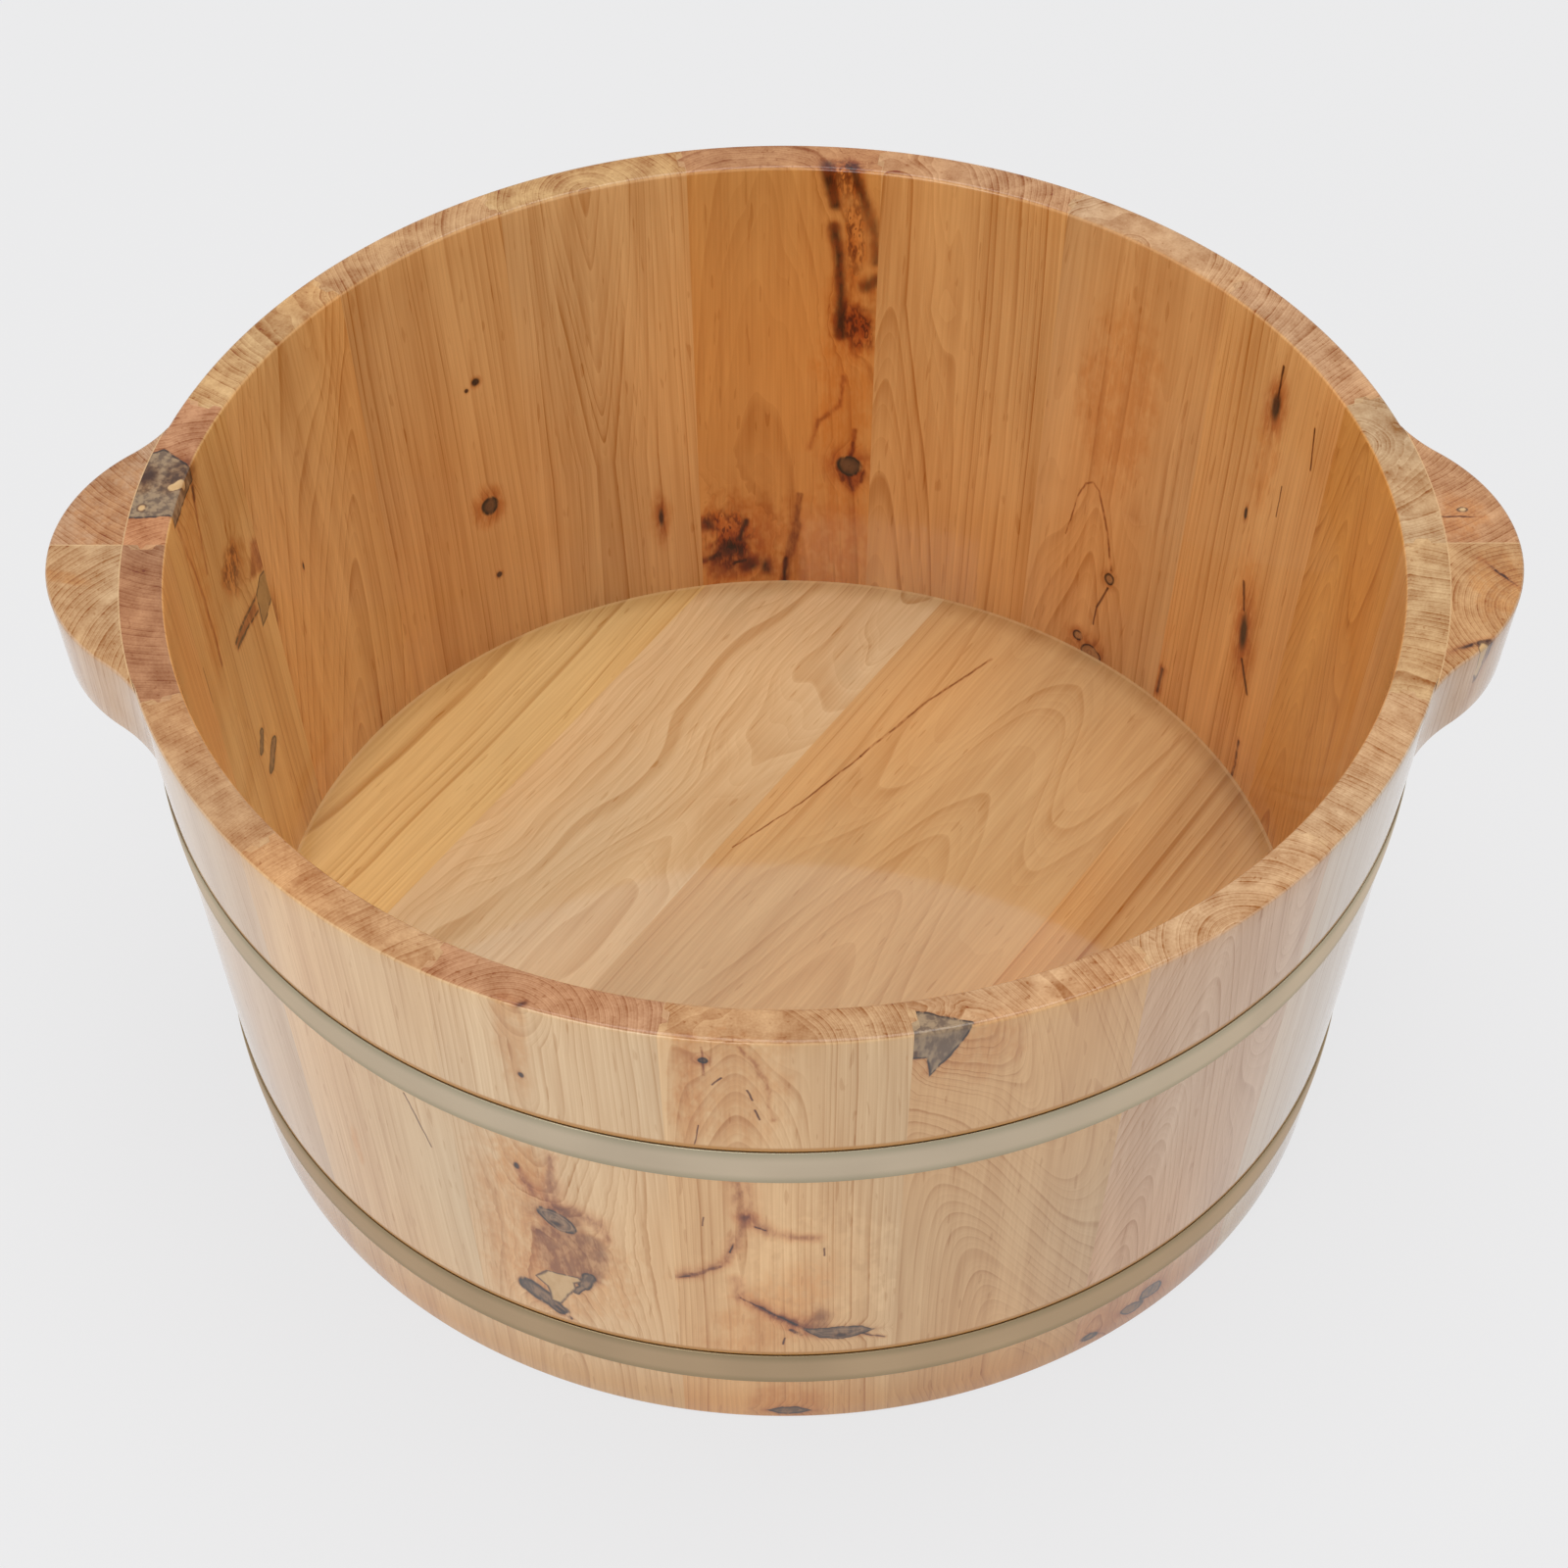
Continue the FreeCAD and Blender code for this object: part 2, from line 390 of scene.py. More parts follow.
def ear_outline(narrower, wall_radius, seam_turn):
    """Half an ear on the +X side, from its tip on the wall to the seam, at one level."""
    hollow = ear_hollow_radius + narrower
    nose = ear_nose_radius - narrower
    from_axis = (flank_reach**2 + hollow**2 - wall_radius**2) / (2 * flank_reach * hollow)
    tip = math.pi + flank_turn + math.acos(from_axis)
    seam = seam_turn + math.asin(nose_middle * math.sin(seam_turn) / nose)
    flank = arc(flank_middle, hollow, tip, math.pi + joint_turn, 14)
    return np.concatenate([flank, arc(np.array([nose_middle, 0.0]), nose, joint_turn, seam, 34)[1:]])


def angle_of(point):
    return math.atan2(point[1], point[0])


ear_tip_turns = [angle_of(ear_outline(taken, rim_radius, 0.0)[0]) for taken in (ear_round, 0.0)]
print("an ear ends", [round(math.degrees(turn), 1) for turn in ear_tip_turns], "degrees from its middle")

# %% Ear blocks
def ear_levels():
    """Levels of an ear as (height, how much narrower its outline is there)."""
    base = tub_height - ear_height
    levels = [(base + ear_round - risen, taken) for risen, taken in reversed(quarter_turn(ear_round))]
    levels += [(z, 0.0) for z in np.linspace(base + ear_round, tub_height - ear_round, 5)[1:-1]]
    levels += [(tub_height - ear_round + risen, taken) for risen, taken in quarter_turn(ear_round)]
    return [(z, taken + taper * (tub_height - z)) for z, taken in levels]


def ear_block(side, is_front):
    """Grid of points of one block. Side is 1 for the right ear and -1 for the left."""
    seam_turn = -ear_turn if is_front else ear_turn
    outward = np.linspace(0, 1, 9)[None, :, None]
    layers = []
    for z, narrower in ear_levels():
        wall_radius = outer_radius(z)
        outline = ear_outline(narrower, wall_radius, seam_turn)
        on_wall = outline * (wall_radius / np.hypot(*outline.T))[:, None]
        plan = on_wall[:, None, :] * (1 - outward) + outline[:, None, :] * outward
        layers.append(np.concatenate([plan, np.full(plan.shape[:2] + (1,), z)], 2))
    points = np.array(layers)
    if is_front:
        points[..., 1] *= -1
    cos, sin = math.cos(-ear_turn), math.sin(-ear_turn)
    x = points[..., 0] * cos - points[..., 1] * sin
    y = points[..., 0] * sin + points[..., 1] * cos
    return np.stack([side * x, y, points[..., 2]], 3)


print("points in half an ear:", ear_block(1, True)[..., 0].size)

# %% [markdown]
# ## Staves
# Columns go from one seam to the other and rows from the outside to the inside. Each seam has a tongue that
# grips the groove of the next stave. A tongue only shifts the ends of its rows sideways, so it is one line
# of numbers: how far the seam stands out at each depth.

# %% Staves
tongue_at = [tongue_depth - tongue_root / 2, tongue_depth - tongue_tip / 2,
             tongue_depth + tongue_tip / 2, tongue_depth + tongue_root / 2]
depths_across_wall = sorted([0.0, 2.0, *tongue_at, 11.4, wall])
columns_per_stave = 40


def seam_shift(depth, play):
    """How far the tongue stands out at a depth from the outside, with some play round it."""
    return np.interp(depth, tongue_at, [0.0, tongue_height + play, tongue_height + play, 0.0])


def stave_points(number):
    """Grid of points of a stave. Number 1 is at the front and the others follow counter-clockwise."""
    middle = math.radians(front_angle + stave_angle * (number - 1))
    half = math.radians(stave_angle / 2)
    across = np.linspace(0, 1, columns_per_stave + 1)[:, None]
    turn = middle + half * (2 * across - 1)
    from_ear = np.minimum(abs(np.angle(np.exp(1j * (turn + ear_turn)))),
                          abs(np.angle(np.exp(1j * (turn - math.pi - ear_turn)))))
    open_edge = np.interp(from_ear, ear_tip_turns, [0.0, 1.0])
    layers = []
    for z, outside, inside, eased in wall_levels():
        depth = np.clip(depths_across_wall, outside + eased * open_edge, wall - inside - eased)
        radius = outer_radius(z) - depth
        start = -half + np.arcsin(seam_shift(depth, tongue_play) / radius)
        end = half + np.arcsin(seam_shift(depth, 0.0) / radius)
        place = middle + start + (end - start) * across
        height = np.full(radius.shape, z)
        layers.append(np.stack([radius * np.cos(place), radius * np.sin(place), height], 2))
    return np.array(layers)


print("points in a stave:", stave_points(1)[..., 0].size)

# %% [markdown]
# ## Floor boards
# The floor is a disc of boards glued edge to edge. Seen along the grain each board is a strip of the disc.
# Its rows run across the grain between two seams, and its columns along the grain from edge to edge of the
# disc, so the round edge and the bevel under it need no cutting.

# %% Floor boards
board_angle = math.radians(57.0)
board_shares = (0.17, 0.22, 0.3175)
floor_radius = inner_radius(floor_top) + floor_groove_depth - floor_play
seams = [-floor_radius]
for share in board_shares:
    seams.append(seams[-1] + share * 2 * floor_radius)
seams.append(floor_radius)
bevel_start = inner_radius(floor_low) - floor_bevel_gap
bevel_end = bevel_start - (floor_thickness - floor_edge)
floor_levels = [
    (floor_top - floor_thickness, bevel_end),
    (floor_low, bevel_start),
    (floor_low, floor_radius),
    (floor_top, floor_radius),
]


def board_points(number):
    """Grid of points of a floor board. Number 1 is at the back left."""
    low, high = seams[number - 1], seams[number]
    layers = []
    for z, radius in floor_levels:
        across = np.linspace(max(low, -radius), min(high, radius), 40)[None, :]
        along = np.linspace(-1, 1, 30)[:, None] * np.sqrt(np.maximum(radius**2 - across**2, 0))
        x = along * math.cos(board_angle) + across * math.sin(board_angle)
        y = along * math.sin(board_angle) - across * math.cos(board_angle)
        layers.append(np.stack([x, y, np.full(x.shape, z)], 2))
    return np.array(layers)


print("seams of the floor, from its middle:", [round(seam, 1) for seam in seams])

# %% [markdown]
# ## Hoops
# A hoop is flat strip steel, bent round and driven down the tapered tub. Its section is a thin leaning
# parallelogram with its edges just broken, and turning that about the tub's axis gives the whole band.

# %% Hoops
hoop_round = 0.25
hoop_crown = 0.25
hoop_steps = 360
hoop_sharp_angle = 50


def hoop_mesh(name):
    """The band of a hoop, closed on itself."""
    middle = hoop_middles[name]
    low, high = middle - hoop_width / 2, middle + hoop_width / 2
    section = []
    for z_corner, inward, z_way, in_way in (
        (low, 0.0, 1, 1), (high, 0.0, -1, 1), (high, hoop_thickness, -1, -1), (low, hoop_thickness, 1, -1),
    ):
        corner = [
            (z_corner + z_way * (hoop_round - risen), inward + in_way * taken)
            for risen, taken in quarter_turn(hoop_round, 3)
        ]
        section += corner[::-1] if z_way == in_way else corner
        if z_corner == low and inward == 0.0:
            share = np.linspace(-1, 1, 11)[1:-1]
            section += [(middle + hoop_width / 2 * s, -hoop_crown * (1 - s**2)) for s in share]
    proud = hoop_thickness - hoop_seat
    turns = np.linspace(0, 2 * math.pi, hoop_steps, endpoint=False)
    rings = []
    for z, inward in section:
        radius = outer_radius(z) + proud - inward
        rings.append(np.stack([radius * np.cos(turns), radius * np.sin(turns), np.full(hoop_steps, z)], 1))
    index = np.arange(len(section) * hoop_steps).reshape(len(section), hoop_steps)
    after = np.roll(index, -1, 1)
    quads = np.stack([index, after, np.roll(after, -1, 0), np.roll(index, -1, 0)], 2).reshape(-1, 4)
    return closed_mesh(name, np.concatenate(rings), quads, hoop_sharp_angle)


print("a hoop stands out by", round(hoop_thickness - hoop_seat, 1), "mm")

# %% [markdown]
# ## Wood
# All wood here is one recipe. Every piece gets its own place in a tree: a heart line in it or beside it,
# and rings round that line. The faces then cut those rings as a saw would: arches where the tree tapers,
# fine straight lines far from the heart, and arcs on the end grain of the rim. An image could not do that,
# because its pattern stops at the surface, while rings in the solid meet at every edge.

# %% Places in a piece of wood
half_stave = math.radians(stave_angle / 2)


def millimetres(start):
    """The place on the piece in millimetres, in the tub's own frame."""
    return start.node("ShaderNodeTexCoord", {}, {}, 3) * (1 / MM)


def turned(point, angle):
    return point.node("ShaderNodeVectorRotate", {"rotation_type": "Z_AXIS"}, {0: point, "Angle": -angle})


def stave_place(number):
    """Across (counter-clockwise), depth (inward from the outside) and height in a stave."""
    middle = math.radians(front_angle + stave_angle * (number - 1))

    def place(start):
        point = turned(millimetres(start), middle)
        height = point.part(2)
        depth = outer_radius(height) - point.part(0)
        return start.node("ShaderNodeCombineXYZ", {}, {0: point.part(1), 1: depth, 2: height})
    return place


def board_place(start):
    """Across, depth and along the grain in the floor."""
    point = turned(millimetres(start), board_angle)
    inputs = {0: -1 * point.part(1), 1: floor_top - point.part(2), 2: point.part(0)}
    return start.node("ShaderNodeCombineXYZ", {}, inputs)


def ear_place(start):
    """Sideways, outward and up in an ear."""
    point = millimetres(start)
    return start.node("ShaderNodeCombineXYZ", {}, {0: point.part(1), 1: point.part(0), 2: point.part(2)})


print("a stave is", round(2 * rim_radius * math.sin(half_stave), 1), "mm wide at the rim")

# %% [markdown]
# ## Rings and heart lines
# The ring that a point lies in is its distance from the heart line, divided by the width of a ring. A tree
# tapers, so the distance also grows with height, and that closes the rings to nested arches on a flat-sawn
# face. Slow noise lets the rings sway as a living tree does.

# %% Growth rings
plain_look = {
    "outside": colour(206, 172, 134),
    "inside": colour(198, 142, 90),
    "end": colour(186, 132, 82),
    "heart": (70.0, 30.0),              # where the heart line is, across and deep
    "lean": 0.0,                        # how far it leans aside for each millimetre up
    "cone": 0.0,                        # how much the distance from it grows for each millimetre up
    "cone_from": 0.0,                   # the height where that starts
    "cone_span": 400.0,                 # and over how many millimetres it goes on
    "cone_reach": (30.0, 60.0),         # it is full this near the heart and none that far from it
    "ring": 2.2,                        # width of a ring
    "sway": ((9.0, 0.018, 0.004), (1.4, 0.08, 0.018)),
    "contrast": 0.75,                   # how dark the ring lines are
    "streaks": 1.4,                     # and the streaks along the grain
    "shine": 1.5,                       # index of refraction of the lacquer
    "marks": (),
}
year_drift = 3.0                        # noise adds up to this many rings, so no two are equally wide
year_drift_per_mm = 0.13


def ring_count(place, rough, look, push):
    """How many rings lie between a point and the heart line."""
    along = place.part(2)
    from_heart = place - along * (look["lean"], 0.0, 1.0) - (look["heart"][0], look["heart"][1], 0.0)
    radius = from_heart.length()
    if look["cone"]:
        near, far = look["cone_reach"]
        up = (along - look["cone_from"]).greater(0.0).lesser(look["cone_span"])
        radius = radius + up * look["cone"] * radius.rise(far, near)
    for size, per_mm_across, per_mm_along in look["sway"]:
        swayed = rough.noise((per_mm_across, per_mm_across, per_mm_along), 1.0)
        radius = radius + (swayed - 0.5) * size
    if push is not None:
        radius = radius + push
    return radius / look["ring"] + radius.line_noise(year_drift_per_mm) * year_drift


print("rings across a stave:", round(2 * rim_radius * math.sin(half_stave) / plain_look["ring"]))

# %% [markdown]
# ## Marks in the wood
# Knots, bark pockets and cracks are what makes this tub look like itself. They could be painted on an
# image, but a mark is a thing in the wood, so each is a form in it: an egg, a chain of rods, or a plate
# with straight sides. The distance from the nearest form gives everything: the core inside it, the dark
# edge on it, the stained wood round it, and how far it pushes the rings aside. Noise tears the forms, so
# none looks drawn.

# %% Marks
egg_depth = 4.0                         # how far marks reach into the wood from its face
vein_depth = 3.0
plate_depth = 3.0


def mark(kind, middle, half, lean=0.0, twist=0.0):
    """A mark in a piece of wood. Lean turns it in the face, twist in the end grain, both in degrees."""
    turn = (0.0, math.radians(lean), math.radians(twist))
    return {"kind": kind, "forms": [("egg", middle, half, turn)], "size": min(half[0], half[2])}


def outside(kind, across, height, half_across, half_height, lean=0.0):
    return mark(kind, (across, 0.0, height), (half_across, egg_depth, half_height), lean)


def inside(kind, across, height, half_across, half_height, lean=0.0):
    return mark(kind, (across, wall, height), (half_across, egg_depth, half_height), lean)


def vein(kind, depth, *points):
    """A mark along a line of points, each given as across, height and half of its width there."""
    forms = []
    for (start, low, first_width), (end, high, last_width) in zip(points, points[1:]):
        width = (first_width + last_width) / 2
        turn = (0.0, math.atan2(end - start, high - low), 0.0)
        length = math.hypot(end - start, high - low) / width
        forms.append(("rod", (start, depth, low), (width, vein_depth, width), turn, length))
    return {"kind": kind, "forms": forms, "size": min(half for *_, half in points)}


def plate(kind, depth, *corners, back=None, size=5.0):
    """A mark with straight sides. Its corners are (across, height), counter-clockwise.

    A line of two places, each (across, depth), may bound it in the wood.
    """
    planes = []
    for (start, low), (end, high) in zip(corners, corners[1:] + corners[:1]):
        length = math.hypot(end - start, high - low)
        direction = ((high - low) / length, 0.0, (start - end) / length)
        planes.append((direction, direction[0] * start + direction[2] * low))
    if back:
        (start, near), (end, far) = back
        length = math.hypot(end - start, far - near)
        direction = ((near - far) / length, (end - start) / length, 0.0)
        planes.append((direction, direction[0] * start + direction[1] * near))
    else:
        way = 1.0 if depth == 0.0 else -1.0
        planes.append(((0.0, way, 0.0), way * depth + plate_depth))
    return {"kind": kind, "forms": [("plate", planes, size)], "size": size}


def end_plate(kind, low, *corners, size=5.0):
    """A mark with straight sides on the end grain. Its corners are (across, depth), counter-clockwise."""
    planes = [((0.0, 0.0, -1.0), -low)]
    for (start, near), (end, far) in zip(corners, corners[1:] + corners[:1]):
        length = math.hypot(end - start, far - near)
        direction = ((far - near) / length, (start - end) / length, 0.0)
        planes.append((direction, direction[0] * start + direction[1] * near))
    return {"kind": kind, "forms": [("plate", planes, size)], "size": size}


def joined(*marks):
    """Marks of one kind that run into each other."""
    forms = [form for one in marks for form in one["forms"]]
    return {"kind": marks[0]["kind"], "forms": forms, "size": max(one["size"] for one in marks)}


three_points = [(0.0, 0.0, 1.0), (2.0, 10.0, 1.0), (0.0, 20.0, 1.0)]
print("rods in a vein through three points:", len(vein("line", 0.0, *three_points)["forms"]))

# %% Kinds of marks
plain_mark = {
    "torn": 0.6,                        # how ragged its outline is
    "push": 0.0,                        # how many millimetres the rings give way
    "reach": 2.4,                       # where its stain ends, in its own half widths
    "stain": (0.86, 0.72, 0.60),        # what the stain leaves of the wood's colour
    "soft": 0.3,                        # how slowly it fades at its edge
    "ringed": False,                    # it has rings of its own
    "curled": False,                    # its grain curls in dark strands
    "broken": False,                    # it fades away in places
    "core": None,                       # its own two colours,
    "tint": None,                       # or what it leaves of the wood's colour, twice
    "edge": None,                       # colour of a thin line round it
    "edge_width": 0.55,                 # how far that line reaches out, in millimetres
}
mark_kinds = {
    "knot": {
        "torn": 0.4, "push": 6.0, "reach": 3.2, "stain": (0.72, 0.50, 0.36), "soft": 0.10, "ringed": True,
        "core": (colour(112, 74, 46), colour(84, 52, 34)), "edge": colour(34, 22, 16), "edge_width": 0.9},
    "ring": {
        "torn": 0.3, "push": 5.0, "reach": 3.0, "stain": (0.68, 0.48, 0.34), "soft": 0.05, "ringed": True,
        "core": (colour(190, 138, 88), colour(150, 100, 60)), "edge": colour(52, 28, 18)},
    "lens": {
        "push": 6.0, "reach": 2.0, "stain": (0.74, 0.58, 0.48), "soft": 0.06, "ringed": True,
        "core": (colour(160, 124, 92), colour(84, 62, 50)), "edge": colour(44, 32, 28)},
    "ember": {
        "torn": 0.4, "push": 5.0, "reach": 3.8, "stain": (0.66, 0.40, 0.27), "soft": 0.5,
        "core": (colour(72, 34, 20), colour(40, 22, 16))},
    "eye": {
        "torn": 0.5, "push": 2.0, "reach": 2.2, "stain": (0.78, 0.58, 0.44),
        "core": (colour(78, 46, 30), colour(44, 28, 20))},
    "bark": {
        "torn": 0.9, "push": 5.0, "reach": 2.0, "stain": (0.76, 0.58, 0.46), "soft": 0.15,
        "core": (colour(92, 70, 56), colour(146, 112, 82)), "edge": colour(48, 34, 28)},
    "ash": {
        "torn": 0.3, "push": 4.0, "reach": 1.4, "stain": (0.84, 0.70, 0.58), "soft": 0.03,
        "core": (colour(158, 132, 102), colour(110, 88, 70)), "edge": colour(48, 36, 32)},
    "smoke": {
        "torn": 0.9, "reach": 2.0, "stain": (0.84, 0.72, 0.62), "soft": 0.4,
        "tint": ((0.74, 0.65, 0.59, 1.0), (0.54, 0.45, 0.42, 1.0))},
    "resin": {
        "reach": 1.3, "stain": (0.80, 0.68, 0.56), "soft": 0.02,
        "core": (colour(176, 138, 84), colour(158, 120, 70)), "edge": colour(84, 56, 36)},
    "filler": {
        "reach": 1.15, "stain": (0.80, 0.68, 0.56), "soft": 0.02,
        "core": (colour(214, 176, 126), colour(206, 166, 114)), "edge": colour(104, 72, 48)},
    "tangle": {
        "torn": 1.4, "push": 5.0, "reach": 1.9, "stain": (0.84, 0.66, 0.50), "soft": 0.6, "curled": True,
        "tint": ((1.10, 1.02, 0.92, 1.0), (0.38, 0.26, 0.21, 1.0))},
    "char": {
        "torn": 1.0, "push": 2.0, "reach": 2.4, "stain": (0.70, 0.50, 0.36), "soft": 0.7,
        "tint": ((0.12, 0.08, 0.08, 1.0), (0.42, 0.27, 0.21, 1.0))},
    "rust": {
        "torn": 1.0, "reach": 2.0, "stain": (0.84, 0.68, 0.54), "soft": 0.5,
        "tint": ((0.72, 0.50, 0.40, 1.0), (0.52, 0.33, 0.25, 1.0))},
    "crack": {
        "torn": 0.8, "reach": 3.6, "stain": (0.84, 0.66, 0.54), "soft": 0.5, "broken": True,
        "tint": ((0.26, 0.19, 0.17, 1.0), (0.11, 0.08, 0.09, 1.0))},
    "scar": {
        "torn": 0.8, "reach": 3.4, "stain": (0.90, 0.76, 0.66), "soft": 0.95,
        "tint": ((0.86, 0.76, 0.70, 1.0), (0.60, 0.48, 0.44, 1.0))},
    "trace": {
        "torn": 0.5, "soft": 0.5, "broken": True,
        "tint": ((0.70, 0.58, 0.52, 1.0), (0.42, 0.31, 0.27, 1.0))},
    "line": {
        "torn": 0.5, "soft": 0.4,
        "tint": ((0.30, 0.22, 0.18, 1.0), (0.14, 0.10, 0.09, 1.0))},
    "grain": {
        "torn": 1.2, "push": 3.0, "reach": 3.0, "stain": (0.94, 0.88, 0.80), "soft": 0.9,
        "tint": ((0.88, 0.78, 0.70, 1.0), (0.66, 0.50, 0.42, 1.0))},
    "pale": {"torn": 1.2, "reach": 1.7, "stain": (1.11, 1.15, 1.19)},
    "umber": {"torn": 1.2, "reach": 1.7, "stain": (0.90, 0.76, 0.62)},
    "amber": {"torn": 1.2, "reach": 1.7, "stain": (0.94, 0.78, 0.58)},
    "swirl": {"torn": 0.3, "push": 10.0, "reach": 1.0, "stain": (1.0, 1.0, 1.0)},
}
mark_kinds = {name: {**plain_mark, **kind} for name, kind in mark_kinds.items()}
print("kinds of marks:", ", ".join(mark_kinds))

# %% Painting the marks
finest_tear = 2.0                       # marks smaller than this, in millimetres, are torn as if they had it
tear_share = 1.3


def distances_to(marks, place, tear):
    """The kind, the size and the distance of each mark, from 0 in its middle to 1 on its edge."""
    torn_places = {}
    found = []
    for spot in marks:
        torn = mark_kinds[spot["kind"]]["torn"] * max(spot["size"], finest_tear) * tear_share
        if torn not in torn_places:
            torn_places[torn] = place + tear * torn
        torn_place = torn_places[torn]
        ways = {"egg": torn_place.egg, "rod": torn_place.rod, "plate": torn_place.plate}
        distance = None
        for form, *sizes in spot["forms"]:
            one = ways[form](*sizes)
            distance = one if distance is None else distance.lesser(one)
        found.append((spot["kind"], spot["size"], distance))
    return found


def push_of(marks_found):
    """How many millimetres the marks push the rings aside, or None where there is nothing to push."""
    push = None
    for name, size, distance in marks_found:
        if mark_kinds[name]["push"]:
            aside = distance.rise(3.2, 0.2) * (mark_kinds[name]["push"] * min(1.0, size / 6))
            push = aside if push is None else push + aside
    return push


def paint_marks(wood_colour, marks_found, mottle):
    """Stains, fills and edges each mark in turn, so that a later mark lies on an earlier one."""
    stain_share = mottle.rise(0.3, 0.6) * 0.55 + 0.45
    plain_blot = mottle.rise(0.36, 0.64)
    gaps = mottle.rise(0.24, 0.52)
    edge_gaps = mottle.rise(0.25, 0.5)
    plain_fills = {}
    for name, size, distance in marks_found:
        kind = mark_kinds[name]
        stain = distance.rise(kind["reach"], 0.8) * stain_share
        wood_colour = stain.blend(wood_colour, wood_colour * kind["stain"])
        colours = kind["core"] or kind["tint"]
        if colours:
            if kind["ringed"]:
                fill = (plain_blot * 0.5 + (distance * 2.6).rest() * 0.5).blend(*colours)
            elif kind["curled"]:
                curl = (mottle * 3.4 + distance).rest()
                fill = (curl.rise(0.2, 0.7) * curl.rise(1.0, 0.85)).blend(*colours)
            else:
                if name not in plain_fills:
                    plain_fills[name] = plain_blot.blend(*colours)
                fill = plain_fills[name]
            if kind["tint"]:
                fill = wood_colour * fill
            share = distance.rise(1.02 + kind["soft"], 0.96 - kind["soft"])
            if kind["broken"]:
                share = share * gaps
            wood_colour = share.blend(wood_colour, fill)
        if kind["edge"]:
            width = max(0.08, min(0.40, kind["edge_width"] / size))
            rim = distance.rise(1 + width, 1.0) * distance.rise(1 - 1.6 * width, 1.0)
            wood_colour = (rim * edge_gaps).blend(wood_colour, kind["edge"])
    return wood_colour


print("a crack is stained out to", mark_kinds["crack"]["reach"], "of its half widths")

# %% [markdown]
# ## The wood material
# Colour is laid on in the order in which wood has it: the tone of the board, slow patches, streaks along
# the grain, the dark line that ends each ring, fine fibres, and the marks. Darker wood is also redder, so
# the darkness takes more blue than red away. Over it all lies a clear coat, as the lacquer on the real tub.

# %% Figure of the wood
fibre_blots = (1.3, 1.3, 0.032)         # blots to a millimetre: across, deep and along the grain
pore_blots = (0.7, 0.7, 0.09)
streak_blots = (0.11, 0.11, 0.006)
patch_blots = (0.02, 0.02, 0.008)
mottle_blots = (0.4, 0.4, 0.16)
tear_blots = (0.17, 0.17, 0.1)


def figure(rings, rough, look, push, upward):
    """How dark each point is from its rings, streaks, pores and fibres, and those fibres by themselves."""
    fibre = rough.noise(fibre_blots, 0.0)
    pore = rough.noise(pore_blots, 0.0).rise(0.74, 0.8)
    streak = rough.noise(streak_blots, 2.0, 0.65)
    year = rings.rest()
    season = (rings * 3.0).rest()
    strength = rings.whole().line_noise(0.73).rise(0.30, 0.70) * streak.rise(0.25, 0.6)
    line = year.rise(0.55, 0.92) * year.rise(1.0, 0.94) * (strength * 0.9 + 0.1)
    contrast = look["contrast"] if push is None else (push * 0.06 + 1.0) * look["contrast"]
    darkness = ((line + (year - 0.5) * 0.22 + (season - 0.5) * 0.3) * contrast
                + (streak - 0.5) * look["streaks"] + (fibre - 0.5) * 0.6 + pore * 0.45)
    if upward is not None:
        end_lines = (season - 0.5) * 0.4 + (streak - 0.5) * 1.3
        darkness = darkness * (upward * 0.5 + 1.0) + upward * end_lines
    return darkness, fibre


print("a fibre is about", round(1 / fibre_blots[2]), "mm long and", round(1 / fibre_blots[0], 1), "mm wide")

# %% Wood
seed_shift = (37.7, 71.3, 113.9)        # millimetres between one piece's noise and the next one's
long_side_coat = 0.9
end_grain_drinks = 0.35                 # end grain soaks up this much of the coat
warmer_patches = (0.25, 0.05, -0.25)
darkens = (0.30, 0.46, 0.64)            # what full darkness takes from red, green and blue


def wood(name, place_in, seed, end_grain=True, dress=None, **changes):
    """A lacquered wood with its own place in the tree, its colours and its marks."""
    look = {**plain_look, **changes}
    made, start = new_material(name)
    place = place_in(start)
    rough = place + tuple(seed * shift for shift in seed_shift)
    push = upward = None
    if look["marks"]:
        tear = rough.noise(tear_blots, 2.0, 0.65, output=1) - 0.5
        marks_found = distances_to(look["marks"], place, tear)
        push = push_of(marks_found)

    ground = place.part(1).rise(wall / 2 - 1, wall / 2 + 1).blend(look["outside"], look["inside"])
    coat = long_side_coat
    if end_grain:
        upward = abs(start.node("ShaderNodeNewGeometry", {}, {}, 1).part(2)).rise(0.6, 0.9)
        ground = upward.blend(ground, look["end"])
        coat = long_side_coat - upward * end_grain_drinks
    darkness, fibre = figure(ring_count(place, rough, look, push), rough, look, push, upward)
    ground = ground * (1.0 + (rough.noise(patch_blots, 0.0) - 0.5) * warmer_patches)
    wood_colour = ground * (1.06 - darkness * darkens)
    if look["marks"]:
        wood_colour = paint_marks(wood_colour, marks_found, rough.noise(mottle_blots, 2.0, 0.65))
    if dress:
        wood_colour = dress(place, wood_colour)

    bump = start.node("ShaderNodeBump", {}, {"Strength": 0.2, "Distance": 0.1 * MM, "Height": fibre})
    shader = start.node("ShaderNodeBsdfPrincipled", {}, {
        "Base Color": wood_colour,
        "Roughness": 0.42,
        "Normal": bump,
        "Coat Weight": coat,
        "Coat Roughness": 0.06,
        "Coat IOR": look["shine"],
        "Specular IOR Level": 0.12,
    })
    start.node("ShaderNodeOutputMaterial", {}, {"Surface": shader})
    return made


print("coat on the end grain:", round(long_side_coat - end_grain_drinks, 2))
